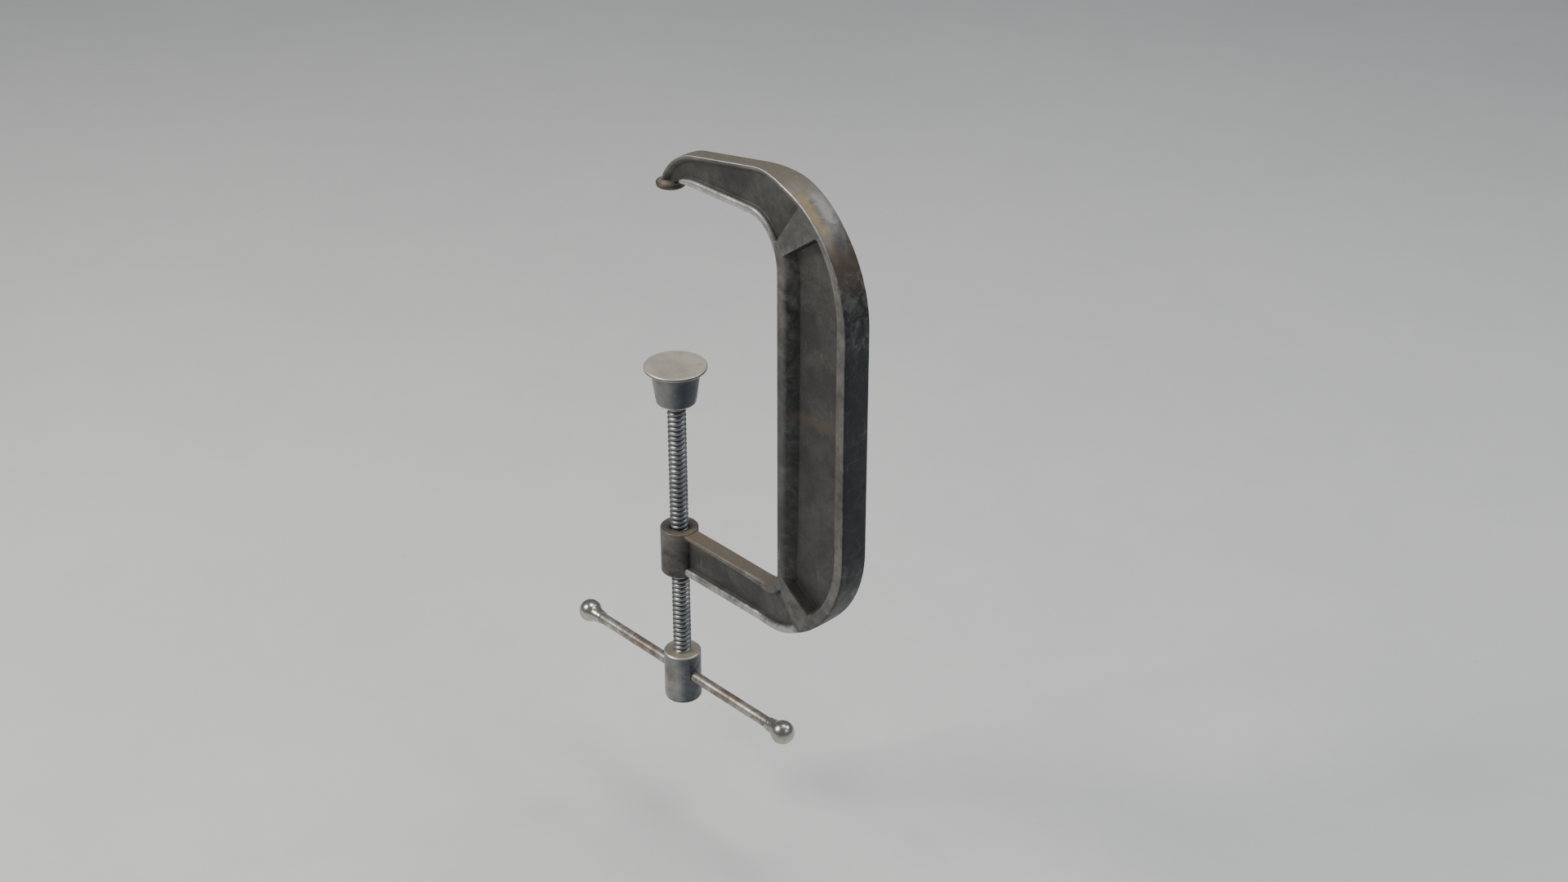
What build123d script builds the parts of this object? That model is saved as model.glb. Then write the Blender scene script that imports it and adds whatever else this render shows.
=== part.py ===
from build123d import *
import math
import os

# G-clamp with a swivel pad and a T-bar screw. Millimetres, +Z up.
# The origin is the centre of the anvil's face, on the screw's axis. +X points from the screw to the
# spine of the frame, and the frame is symmetric about the plane Y = 0. The screw rises to close the jaw.

os.makedirs("parts", exist_ok=True)

# ---------------------------------------------------------------- driving dimensions
# Jaw
throat_depth = 117.0          # screw axis to the inner face of the spine
jaw_height = 276.0            # anvil face down to the top of the screw boss
jaw_opening = 140.5           # anvil face down to the pad face, as the clamp stands

# Frame casting: outline
spine_depth = 67.5            # inner face to outer face of the spine
underside_z = 8.3             # underside of the upper arm above the anvil face
upper_inner_radius = 32.0
lower_inner_radius = 20.0
upper_bend_radius = 103.5
upper_bend_drop = 50.0        # anvil face down to where the spine's outer face starts to bend
crown_radius = 72.0
crown_slope = 10.4            # degrees, fall of the upper arm's back towards the tip
nose_x = 30.3                 # where the back of the arm turns down into the nose
nose_z = 32.7
nose_radius = 44.8
nose_lip = 5.2                # lowest point of the nose's arc above the anvil face
lower_arm_depth = 35.8
lower_arm_step = 1.0          # top of the lower arm below the boss top
lower_bend_radius = 92.0

# Frame casting: widths across the plane of the frame
spine_width = 23.0
arm_width = 13.4
widening_lead = 27.0          # the arms start to widen this far before the spine's inner face
widening_run = 14.0           # and are as wide as the spine this far past it
web_thickness = 6.0

# Frame casting: flanges round the recessed webs
inner_flange = 9.4
outer_flange = 8.0
crown_flange = 6.0
nose_flange = 3.8
lower_top_flange = 3.9
lower_bottom_flange = 10.5
corner_flange = 8.0           # flange round the inner lower corner
web_start_x = 19.5            # the lower arm's web starts clear of the boss
rail_tip_x = 32.0             # the upper arm's lower flange tapers away from here to the foot
foot_web_x = 16.0
foot_web_z = 10.5
web_draft = 8.0               # degrees, slope of the recess walls

# Stiffeners standing across the webs: the two ends (x, z) of each long edge, from the jaw's inner corner
gusset_upper = ((2.0, -7.3), (23.7, 23.0))
gusset_lower = ((2.6, -20.1), (39.5, 7.2))
rib_upper = ((3.4, 18.4), (40.0, -8.9))
rib_lower = ((2.5, 8.4), (21.1, -20.8))

# Frame casting: edges
edge_radius = 1.6             # rounded long edges of the casting

# Boss, thread bush and its dowel
boss_diameter = 28.9
boss_height = 38.3
bush_diameter = 20.0
bush_ledge = 4.0              # casting left under the bush, which carries the screw's thrust
ledge_clearance = 0.85        # radial gap between the screw and the ledge
lead_in = 0.77                # countersink at the top of the bush, radially
lock_pin_diameter = 3.0
lock_pin_length = 10.0
lock_pin_angle = 136.0        # degrees round the screw from +X

# Anvil
anvil_diameter = 21.0
anvil_thickness = 3.4
anvil_edge_radius = 1.0
anvil_shank_diameter = 8.0
anvil_shank_length = 6.4
foot_base_diameter = 18.0
foot_top_diameter = 12.8
foot_height = 6.4

# Screw
screw_diameter = 14.0
screw_clearance = 0.08        # radial running clearance of the screw in its bush
nose_ball_diameter = 9.8
neck_diameter = 7.0
shoulder_height = 2.1         # cone between the neck and the full diameter
tail_step = 1.0               # the tail is this much smaller than the screw, radially
tail_length = 13.0

# Swivel pad
pad_diameter = 46.4
pad_height = 30.0
pad_lip = 3.0
pad_bevel = 1.3
cup_top_diameter = 35.2
cup_bottom_diameter = 29.2
cup_bevel = 1.6
ball_drop = 11.0              # pad face down to the centre of the ball
socket_clearance = 0.2
pad_tilt = 6.0                # degrees the pad can swivel each way
ring_wire_diameter = 1.4
ring_inset = 0.15             # the ring's mean radius is this much less than the ball's
ring_gap = 0.6                # between the ball and the ring's wire
ring_play = 0.35
screw_entry = 2.0             # how far the full thread reaches up inside the pad's mouth
mouth_margin = 1.5            # the mouth runs on past the full thread
throat_lip = 1.6              # metal left under the ring's groove

# Hub and T-bar
hub_gap = 72.9                # boss bottom down to the hub top, as the clamp stands
hub_diameter = 28.6
hub_height = 42.2
hub_chamfer = 1.3
hub_bottom_radius = 2.0
bar_drop = 19.0               # hub top down to the bar's axis
bar_diameter = 8.5
bar_clearance = 0.08
ball_spacing = 225.2          # between the centres of the two end balls
knob_diameter = 18.3
knob_neck_length = 6.0
knob_neck_diameter = 10.4
knob_neck_flare = 1.0         # the neck's radius grows by this on its way to the ball
spigot_diameter = 5.0
spigot_length = 10.0
hub_pin_diameter = 4.0
hub_pin_drop = 7.0            # hub top down to the pin's axis
hub_pin_overrun = 2.0         # the blind pin reaches this far past the screw's tail
hub_pin_recess = 0.4          # the pin's end sits this far under the hub's surface

# ---------------------------------------------------------------- places worked out from them
spine_outer_x = throat_depth + spine_depth
widening_start_x = throat_depth - widening_lead
widening_end_x = throat_depth + widening_run
boss_top_z = -jaw_height
boss_bottom_z = boss_top_z - boss_height
arm_top_z = boss_top_z - lower_arm_step
arm_bottom_z = arm_top_z - lower_arm_depth
boss_radius = boss_diameter / 2
pad_top_z = -jaw_opening
pad_bottom_z = pad_top_z - pad_height
ball_z = pad_top_z - ball_drop
tail_diameter = screw_diameter - 2 * tail_step
ledge_bore = screw_diameter + 2 * ledge_clearance
ring_mean_radius = nose_ball_diameter / 2 - ring_inset
ring_reach = (nose_ball_diameter + ring_wire_diameter) / 2 + ring_gap
ring_drop = math.sqrt(ring_reach**2 - ring_mean_radius**2)
ring_z = ball_z - ring_drop
hub_top_z = boss_bottom_z - hub_gap
bar_z = hub_top_z - bar_drop
foot_z = anvil_thickness
bush_bottom_z = boss_bottom_z + bush_ledge

# Centres of the outline's arcs
bend_x = spine_outer_x - upper_bend_radius
bend_z = -upper_bend_drop
lower_bend_x = spine_outer_x - lower_bend_radius
lower_bend_z = arm_bottom_z + lower_bend_radius
inner_top_x = throat_depth - upper_inner_radius
inner_top_z = underside_z - upper_inner_radius
inner_low_x = throat_depth - lower_inner_radius
inner_low_z = arm_top_z + lower_inner_radius


def on_circle(centre_x, centre_z, radius, degrees):
    """A point of a circle in the plane of the frame, at an angle measured from +X."""
    angle = math.radians(degrees)
    return (centre_x + radius * math.cos(angle), centre_z + radius * math.sin(angle))


# The crown arc joins the sloping back of the upper arm to the big bend: its centre lies on a radius of
# the bend, and its distance from the back is its own radius.
back_normal = 90.0 + crown_slope
back_offset = math.cos(math.radians(back_normal)) * nose_x + math.sin(math.radians(back_normal)) * nose_z
bend_offset = math.cos(math.radians(back_normal)) * bend_x + math.sin(math.radians(back_normal)) * bend_z
radius_step = upper_bend_radius - crown_radius
crown_swing = math.degrees(math.acos((back_offset - crown_radius - bend_offset) / radius_step))
crown_start = back_normal - crown_swing
crown_x, crown_z = on_circle(bend_x, bend_z, radius_step, crown_start)
crown_end = on_circle(crown_x, crown_z, crown_radius, back_normal)
crown_join = on_circle(bend_x, bend_z, upper_bend_radius, crown_start)
crown_mid = on_circle(crown_x, crown_z, crown_radius, (crown_start + back_normal) / 2)
bend_mid = on_circle(bend_x, bend_z, upper_bend_radius, crown_start / 2)

# The nose arc runs on from the back of the arm
nose_centre_x, nose_centre_z = on_circle(nose_x, nose_z, nose_radius, back_normal + 180.0)
nose_end = on_circle(
    nose_centre_x,
    nose_centre_z,
    nose_radius,
    180.0 - math.degrees(math.asin((nose_lip - nose_centre_z) / nose_radius)),
)

# The recess of the webs runs the whole way round the C, and the gusset and the rib stand across it.
# Their edges are lines of the frame's plane, from the spine's inner flange into the outer flange.
def stiffener(corner_z, upper_edge, lower_edge):
    """The four corners of a stiffener, given the height of the jaw's inner corner."""
    return [(throat_depth + x, corner_z + z) for x, z in (*upper_edge, *reversed(lower_edge))]


gusset_outline = stiffener(underside_z, gusset_upper, gusset_lower)
rib_outline = stiffener(arm_top_z, rib_upper, rib_lower)

# ---------------------------------------------------------------- frame casting
rail_z = underside_z + inner_flange
web_inner_x = throat_depth + inner_flange
web_outer_x = spine_outer_x - outer_flange
web_bottom_z = arm_bottom_z + lower_bottom_flange
nose_web_radius = nose_radius - nose_flange
nose_web_angle = 180.0 - math.degrees(math.asin((foot_web_z - nose_centre_z) / nose_web_radius))
crown_web_radius = crown_radius - crown_flange
bend_web_radius = upper_bend_radius - (crown_flange + outer_flange) / 2
lower_web_radius = lower_bend_radius - (outer_flange + lower_bottom_flange) / 2

with BuildPart() as web_recess:
    with BuildSketch(Plane.XZ.offset(web_thickness / 2)):
        with BuildLine():
            nose_low = on_circle(nose_centre_x, nose_centre_z, nose_web_radius, nose_web_angle)
            nose_high = on_circle(nose_centre_x, nose_centre_z, nose_web_radius, back_normal)
            nose_mid_angle = (nose_web_angle + back_normal) / 2
            nose_web_mid = on_circle(nose_centre_x, nose_centre_z, nose_web_radius, nose_mid_angle)
            ThreePointArc(nose_low, nose_web_mid, nose_high)
            crown_high = on_circle(crown_x, crown_z, crown_web_radius, back_normal)
            crown_low = on_circle(crown_x, crown_z, crown_web_radius, crown_start)
            crown_web_mid = on_circle(crown_x, crown_z, crown_web_radius, (crown_start + back_normal) / 2)
            Line(nose_high, crown_high)
            ThreePointArc(crown_high, crown_web_mid, crown_low)
            bend_web_mid = on_circle(bend_x, bend_z, bend_web_radius, crown_start / 2)
            ThreePointArc(crown_low, bend_web_mid, (web_outer_x, bend_z))
            Line((web_outer_x, bend_z), (web_outer_x, lower_bend_z))
            lower_web_mid = on_circle(lower_bend_x, lower_bend_z, lower_web_radius, -45.0)
            ThreePointArc((web_outer_x, lower_bend_z), lower_web_mid, (lower_bend_x, web_bottom_z))
            web_top_z = arm_top_z - lower_top_flange
            Polyline(
                (lower_bend_x, web_bottom_z),
                (web_start_x, web_bottom_z),
                (web_start_x, web_top_z),
                (inner_low_x, inner_low_z - lower_inner_radius - corner_flange),
            )
            corner_mid = on_circle(inner_low_x, inner_low_z, lower_inner_radius + corner_flange, -45.0)
            ThreePointArc(
                (inner_low_x, inner_low_z - lower_inner_radius - corner_flange),
                corner_mid,
                (web_inner_x, inner_low_z),
            )
            Line((web_inner_x, inner_low_z), (web_inner_x, inner_top_z))
            RadiusArc(
                (web_inner_x, inner_top_z), (inner_top_x, rail_z), -(upper_inner_radius + inner_flange)
            )
            Line((inner_top_x, rail_z), (rail_tip_x, rail_z))
            TangentArc((rail_tip_x, rail_z), (foot_web_x, foot_web_z), tangent=(-1, 0))
            Line((foot_web_x, foot_web_z), nose_low)
        make_face()
        with BuildLine():
            Polyline(*gusset_outline, close=True)
        make_face(mode=Mode.SUBTRACT)
        with BuildLine():
            Polyline(*rib_outline, close=True)
        make_face(mode=Mode.SUBTRACT)
    extrude(amount=spine_width / 2, taper=-web_draft)

with BuildPart() as frame_casting:
    # Side outline of the C: nose, back, spine, lower corner, then back along the jaw
    with BuildSketch(Plane.XZ):
        with BuildLine():
            nose_mid_angle = (nose_web_angle + back_normal) / 2
            nose_mid = on_circle(nose_centre_x, nose_centre_z, nose_radius, nose_mid_angle)
            ThreePointArc(nose_end, nose_mid, (nose_x, nose_z))
            Line((nose_x, nose_z), crown_end)
            ThreePointArc(crown_end, crown_mid, crown_join)
            ThreePointArc(crown_join, bend_mid, (spine_outer_x, bend_z))
            Line((spine_outer_x, bend_z), (spine_outer_x, lower_bend_z))
            lower_mid = on_circle(lower_bend_x, lower_bend_z, lower_bend_radius, -45.0)
            ThreePointArc((spine_outer_x, lower_bend_z), lower_mid, (lower_bend_x, arm_bottom_z))
            Polyline(
                (lower_bend_x, arm_bottom_z), (0, arm_bottom_z), (0, arm_top_z), (inner_low_x, arm_top_z)
            )
            inner_low_mid = on_circle(inner_low_x, inner_low_z, lower_inner_radius, -45.0)
            ThreePointArc((inner_low_x, arm_top_z), inner_low_mid, (throat_depth, inner_low_z))
            Line((throat_depth, inner_low_z), (throat_depth, inner_top_z))
            inner_top_mid = on_circle(inner_top_x, inner_top_z, upper_inner_radius, 45.0)
            ThreePointArc((throat_depth, inner_top_z), inner_top_mid, (inner_top_x, underside_z))
            Polyline((inner_top_x, underside_z), (foot_base_diameter / 2, underside_z), nose_end)
        make_face()
    extrude(amount=spine_width / 2, both=True)

    # Seen from above, both arms widen smoothly into the spine
    with BuildSketch(Plane.XY.offset(arm_bottom_z - edge_radius)):
        with BuildLine():
            plan_start = nose_end[0] - edge_radius
            plan_end = spine_outer_x + edge_radius
            Line((plan_start, arm_width / 2), (widening_start_x, arm_width / 2))
            Spline(
                (widening_start_x, arm_width / 2),
                (widening_end_x, spine_width / 2),
                tangents=((1, 0), (1, 0)),
            )
            Polyline(
                (widening_end_x, spine_width / 2),
                (plan_end, spine_width / 2),
                (plan_end, 0),
                (plan_start, 0),
                (plan_start, arm_width / 2),
            )
        make_face()
        mirror(about=Plane.XZ)
    extrude(amount=jaw_height + boss_height + nose_z + crown_radius, mode=Mode.INTERSECT)

    # Round the long edges. The edges where the arms start and stop widening are only seams.
    outline_edges = frame_casting.edges().filter_by(lambda edge: abs(edge.center().Y) > web_thickness / 2)
    for seam_x in (widening_start_x, widening_end_x):
        outline_edges = outline_edges.filter_by(
            lambda edge: abs((edge @ 0).X - seam_x) > 0.01 or abs((edge @ 1).X - seam_x) > 0.01
        )
    fillet(outline_edges, radius=edge_radius)

    add(web_recess.part, mode=Mode.SUBTRACT)
    add(web_recess.part.mirror(Plane.XZ), mode=Mode.SUBTRACT)

    # Foot that carries the anvil
    with BuildSketch(Plane.XY.offset(foot_z)):
        Circle(foot_base_diameter / 2)
    with BuildSketch(Plane.XY.offset(foot_z + foot_height)):
        Circle(foot_top_diameter / 2)
    loft()
    with Locations((0, 0, foot_z)):
        Cylinder(
            anvil_shank_diameter / 2,
            anvil_shank_length,
            align=(Align.CENTER, Align.CENTER, Align.MIN),
            mode=Mode.SUBTRACT,
        )

    # Boss, bored for the thread bush from the top down to its ledge
    with Locations((0, 0, boss_bottom_z)):
        Cylinder(boss_radius, boss_height, align=(Align.CENTER, Align.CENTER, Align.MIN))
        Cylinder(
            ledge_bore / 2,
            boss_height,
            align=(Align.CENTER, Align.CENTER, Align.MIN),
            mode=Mode.SUBTRACT,
        )
    with Locations((0, 0, bush_bottom_z)):
        Cylinder(
            bush_diameter / 2,
            boss_height - bush_ledge,
            align=(Align.CENTER, Align.CENTER, Align.MIN),
            mode=Mode.SUBTRACT,
        )
    lock_pin_place = (
        bush_diameter / 2 * math.cos(math.radians(lock_pin_angle)),
        bush_diameter / 2 * math.sin(math.radians(lock_pin_angle)),
        boss_top_z,
    )
    with Locations(lock_pin_place):
        Cylinder(
            lock_pin_diameter / 2,
            lock_pin_length,
            align=(Align.CENTER, Align.CENTER, Align.MAX),
            mode=Mode.SUBTRACT,
        )
frame_casting.part.label = "frame_casting"
export_step(frame_casting.part, "parts/frame_casting.step")

# ---------------------------------------------------------------- anvil
with BuildPart() as anvil_insert:
    Cylinder(anvil_diameter / 2, anvil_thickness, align=(Align.CENTER, Align.CENTER, Align.MIN))
    fillet(anvil_insert.edges(), radius=anvil_edge_radius)
    with Locations((0, 0, anvil_thickness)):
        Cylinder(
            anvil_shank_diameter / 2, anvil_shank_length, align=(Align.CENTER, Align.CENTER, Align.MIN)
        )
anvil_insert.part.label = "anvil_insert"
export_step(anvil_insert.part, "parts/anvil_insert.step")

# ---------------------------------------------------------------- thread bush and its dowel
bush_bore = screw_diameter + 2 * screw_clearance
with BuildPart() as thread_bush:
    with Locations((0, 0, bush_bottom_z)):
        Cylinder(
            bush_diameter / 2,
            boss_height - bush_ledge,
            align=(Align.CENTER, Align.CENTER, Align.MIN),
        )
        Cylinder(
            bush_bore / 2,
            boss_height - bush_ledge,
            align=(Align.CENTER, Align.CENTER, Align.MIN),
            mode=Mode.SUBTRACT,
        )
    rim_edges = thread_bush.edges().filter_by(GeomType.CIRCLE).group_by(Axis.Z)[-1]
    chamfer(rim_edges.sort_by(SortBy.RADIUS)[0], length=lead_in)
    with Locations(lock_pin_place):
        Cylinder(
            lock_pin_diameter / 2,
            lock_pin_length,
            align=(Align.CENTER, Align.CENTER, Align.MAX),
            mode=Mode.SUBTRACT,
        )
thread_bush.part.label = "thread_bush"
export_step(thread_bush.part, "parts/thread_bush.step")

with BuildPart() as bush_lock_pin:
    with Locations(lock_pin_place):
        Cylinder(
            lock_pin_diameter / 2, lock_pin_length, align=(Align.CENTER, Align.CENTER, Align.MAX)
        )
bush_lock_pin.part.label = "bush_lock_pin"
export_step(bush_lock_pin.part, "parts/bush_lock_pin.step")

# ---------------------------------------------------------------- screw
# Turned profile: ball nose, neck, shoulder, screw at its full diameter, and the tail inside the hub
nose_radius_ball = nose_ball_diameter / 2
neck_radius = neck_diameter / 2
screw_radius = screw_diameter / 2
neck_top_z = ball_z - math.sqrt(nose_radius_ball**2 - neck_radius**2)
screw_top_z = pad_bottom_z + screw_entry
shoulder_top_z = screw_top_z + shoulder_height
with BuildPart() as spindle:
    with BuildSketch(Plane.XZ):
        with BuildLine():
            ThreePointArc(
                (0, ball_z + nose_radius_ball), (nose_radius_ball, ball_z), (neck_radius, neck_top_z)
            )
            Polyline(
                (neck_radius, neck_top_z),
                (neck_radius, shoulder_top_z),
                (screw_radius, screw_top_z),
                (screw_radius, hub_top_z),
                (tail_diameter / 2, hub_top_z),
                (tail_diameter / 2, hub_top_z - tail_length),
                (0, hub_top_z - tail_length),
                (0, ball_z + nose_radius_ball),
            )
        make_face()
    revolve(axis=Axis.Z)
    with Locations(Location((0, 0, hub_top_z - hub_pin_drop), (90, 0, 0))):
        Cylinder(hub_pin_diameter / 2, hub_diameter, mode=Mode.SUBTRACT)
spindle.part.label = "spindle"
export_step(spindle.part, "parts/spindle.step")

# ---------------------------------------------------------------- hub and its pin
pin_inner_y = -(tail_diameter / 2 + hub_pin_overrun)
pin_length = hub_diameter / 2 - hub_pin_recess - pin_inner_y
pin_location = Location((0, pin_inner_y, hub_top_z - hub_pin_drop), (-90, 0, 0))
with BuildPart() as handle_hub:
    with Locations((0, 0, hub_top_z)):
        Cylinder(hub_diameter / 2, hub_height, align=(Align.CENTER, Align.CENTER, Align.MAX))
    chamfer(handle_hub.edges().group_by(Axis.Z)[-1], length=hub_chamfer)
    fillet(handle_hub.edges().group_by(Axis.Z)[0], radius=hub_bottom_radius)
    with Locations((0, 0, hub_top_z)):
        Cylinder(
            tail_diameter / 2,
            tail_length,
            align=(Align.CENTER, Align.CENTER, Align.MAX),
            mode=Mode.SUBTRACT,
        )
    with Locations(Location((0, 0, bar_z), (0, 90, 0))):
        Cylinder(bar_diameter / 2 + bar_clearance, hub_diameter, mode=Mode.SUBTRACT)
    with Locations(pin_location):
        Cylinder(
            hub_pin_diameter / 2,
            hub_diameter,
            align=(Align.CENTER, Align.CENTER, Align.MIN),
            mode=Mode.SUBTRACT,
        )
handle_hub.part.label = "handle_hub"
export_step(handle_hub.part, "parts/handle_hub.step")

with BuildPart() as hub_pin:
    with Locations(pin_location):
        Cylinder(
            hub_pin_diameter / 2, pin_length, align=(Align.CENTER, Align.CENTER, Align.MIN)
        )
hub_pin.part.label = "hub_pin"
export_step(hub_pin.part, "parts/hub_pin.step")

# ---------------------------------------------------------------- T-bar
knob_radius = knob_diameter / 2
knob_centre_x = ball_spacing / 2
knob_face_x = knob_centre_x - knob_radius - knob_neck_length
with BuildPart() as handle_bar:
    with Locations(Location((0, 0, bar_z), (0, 90, 0))):
        Cylinder(bar_diameter / 2, 2 * knob_face_x)
        Cylinder(spigot_diameter / 2, 2 * (knob_face_x + spigot_length))
handle_bar.part.label = "handle_bar"
export_step(handle_bar.part, "parts/handle_bar.step")

# Ball ends: a ball on a short flared neck, bored for the bar's spigot
neck_join_radius = knob_neck_diameter / 2 + knob_neck_flare
neck_join_x = knob_centre_x - math.sqrt(knob_radius**2 - neck_join_radius**2)
for knob_name, knob_side in (("handle_knob_outer", 1), ("handle_knob_inner", -1)):
    with BuildPart() as handle_knob:
        with BuildSketch(Plane.XZ):
            with BuildLine():
                Polyline(
                    (knob_face_x, bar_z + spigot_diameter / 2),
                    (knob_face_x, bar_z + knob_neck_diameter / 2),
                    (neck_join_x, bar_z + neck_join_radius),
                )
                ThreePointArc(
                    (neck_join_x, bar_z + neck_join_radius),
                    (knob_centre_x, bar_z + knob_radius),
                    (knob_centre_x + knob_radius, bar_z),
                )
                Polyline(
                    (knob_centre_x + knob_radius, bar_z),
                    (knob_face_x + spigot_length, bar_z),
                    (knob_face_x + spigot_length, bar_z + spigot_diameter / 2),
                    (knob_face_x, bar_z + spigot_diameter / 2),
                )
            make_face()
        revolve(axis=Axis((0, 0, bar_z), (1, 0, 0)))
    knob_part = handle_knob.part if knob_side > 0 else handle_knob.part.mirror(Plane.YZ)
    knob_part.label = knob_name
    export_step(knob_part, f"parts/{knob_name}.step")

# ---------------------------------------------------------------- swivel pad and its ring
pad_radius = pad_diameter / 2
socket_radius = nose_radius_ball + socket_clearance
ring_outer_radius = ring_mean_radius + ring_wire_diameter / 2
swing = math.radians(pad_tilt)


def swung_radius(radius, drop):
    """The reach of a point of the screw or ring as the pad swivels, given its depth under the ball."""
    return radius * math.cos(swing) + drop * math.sin(swing)


ring_low = ring_drop + ring_wire_diameter / 2
ring_high = ring_drop - ring_wire_diameter / 2
groove_radius = swung_radius(ring_outer_radius, ring_low) + ring_play
groove_top_z = ball_z - (ring_high * math.cos(swing) - ring_outer_radius * math.sin(swing)) + ring_play
groove_bottom_z = ball_z - (ring_low * math.cos(swing) + ring_outer_radius * math.sin(swing)) - ring_play
throat_end_z = groove_bottom_z - throat_lip
mouth_radius = swung_radius(screw_radius, ball_z - pad_bottom_z) + ring_play
mouth_top_z = screw_top_z + mouth_margin
with BuildPart() as swivel_pad:
    with BuildSketch(Plane.XZ):
        with BuildLine():
            Polyline(
                (0, pad_top_z),
                (pad_radius - pad_bevel, pad_top_z),
                (pad_radius, pad_top_z - pad_bevel),
                (pad_radius, pad_top_z - pad_lip),
                (cup_top_diameter / 2, pad_top_z - pad_lip - pad_bevel),
                (cup_bottom_diameter / 2, pad_bottom_z + cup_bevel),
                (cup_bottom_diameter / 2 - cup_bevel, pad_bottom_z),
                (mouth_radius, pad_bottom_z),
                (mouth_radius, mouth_top_z),
                (socket_radius, throat_end_z),
                (socket_radius, groove_bottom_z),
                (groove_radius, groove_bottom_z),
                (groove_radius, groove_top_z),
                (socket_radius, groove_top_z),
                (socket_radius, ball_z),
            )
            quarter = socket_radius * math.sqrt(0.5)
            ThreePointArc(
                (socket_radius, ball_z), (quarter, ball_z + quarter), (0, ball_z + socket_radius)
            )
            Line((0, ball_z + socket_radius), (0, pad_top_z))
        make_face()
    revolve(axis=Axis.Z)
swivel_pad.part.label = "swivel_pad"
export_step(swivel_pad.part, "parts/swivel_pad.step")

with BuildPart() as pad_retaining_ring:
    with BuildSketch(Plane.XZ):
        with Locations((ring_mean_radius, ring_z)):
            Circle(ring_wire_diameter / 2)
    revolve(axis=Axis.Z)
pad_retaining_ring.part.label = "pad_retaining_ring"
export_step(pad_retaining_ring.part, "parts/pad_retaining_ring.step")
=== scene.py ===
import logging
import math
from dataclasses import dataclass, field
from enum import Enum

import bpy
import numpy as np
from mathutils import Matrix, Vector


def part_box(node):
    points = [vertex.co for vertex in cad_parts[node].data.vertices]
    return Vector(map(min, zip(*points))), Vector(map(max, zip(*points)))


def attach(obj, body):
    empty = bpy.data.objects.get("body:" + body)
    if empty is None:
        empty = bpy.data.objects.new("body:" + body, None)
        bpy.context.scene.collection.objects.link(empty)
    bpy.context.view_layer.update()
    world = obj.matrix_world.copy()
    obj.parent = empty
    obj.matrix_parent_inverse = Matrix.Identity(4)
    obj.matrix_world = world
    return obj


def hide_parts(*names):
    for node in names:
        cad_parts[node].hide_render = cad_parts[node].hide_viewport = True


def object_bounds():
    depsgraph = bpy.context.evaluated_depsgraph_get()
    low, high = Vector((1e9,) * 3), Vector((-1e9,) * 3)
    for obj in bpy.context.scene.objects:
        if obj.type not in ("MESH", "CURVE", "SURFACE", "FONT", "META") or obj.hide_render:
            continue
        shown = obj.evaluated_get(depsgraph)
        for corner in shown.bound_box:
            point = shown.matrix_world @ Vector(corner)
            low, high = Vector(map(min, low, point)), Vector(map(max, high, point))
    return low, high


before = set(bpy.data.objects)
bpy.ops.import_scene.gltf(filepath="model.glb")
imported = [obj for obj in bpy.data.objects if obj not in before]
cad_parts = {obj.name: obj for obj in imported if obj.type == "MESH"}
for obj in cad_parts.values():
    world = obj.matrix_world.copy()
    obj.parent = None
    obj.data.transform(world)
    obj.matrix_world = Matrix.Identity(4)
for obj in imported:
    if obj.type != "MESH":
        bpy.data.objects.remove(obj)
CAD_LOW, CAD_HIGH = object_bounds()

log = logging.getLogger("g_clamp")

MM = 0.001
WELD = 1e-4  # points closer than this, in mm, are one point
LONGEST = 3.0  # the longest step along a straight side, in mm
EDGE_STEPS = 6  # columns round a flange's edge
FACE_STEPS = 5  # columns from a flange's middle to its edge


# ---------------------------------------------------------------- shared surface tools
class Turn(Enum):
    """The axis that a turned piece is round."""

    Z = "z"
    X = "x"


@dataclass
class Skin:
    """A surface in millimetres: points, faces as lists of point numbers, and named values at the points."""

    points: np.ndarray
    faces: list
    values: dict = field(default_factory=dict)

    def joined(self, other: "Skin") -> "Skin":
        """This skin and another as one skin of separate shells.

        Args:
            other: the skin to add; a value that one of them lacks is 0 there.

        Returns:
            The joined skin.
        """
        count = len(self.points)
        values = {}
        for name in sorted({*self.values, *other.values}):
            mine = self.values.get(name, np.zeros(count))
            theirs = other.values.get(name, np.zeros(len(other.points)))
            values[name] = np.concatenate([mine, theirs])
        faces = self.faces + [[number + count for number in face] for face in other.faces]
        return Skin(np.vstack([self.points, other.points]), faces, values)


def smooth(amount: np.ndarray) -> np.ndarray:
    """The smooth step 3u^2 - 2u^3, with u held between 0 and 1."""
    u = np.clip(amount, 0.0, 1.0)
    return u * u * (3.0 - 2.0 * u)


def unit(vector: np.ndarray) -> np.ndarray:
    """The vector, or each row of vectors, divided by its length."""
    return vector / np.maximum(np.linalg.norm(vector, axis=-1, keepdims=True), 1e-9)


def volume(points: np.ndarray, faces: list) -> float:
    """The signed volume: the sum over fans of triangles of a . (b x c) / 6, positive if faces point outwards.

    Args:
        points: the points, (n, 3).
        faces: lists of point numbers.

    Returns:
        The volume.
    """
    triangles = np.array([(f[0], f[k], f[k + 1]) for f in faces for k in range(1, len(f) - 1)])
    a, b, c = (points[triangles[:, k]] for k in range(3))
    return float(np.einsum("ij,ij->i", a, np.cross(b, c)).sum() / 6.0)


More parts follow.
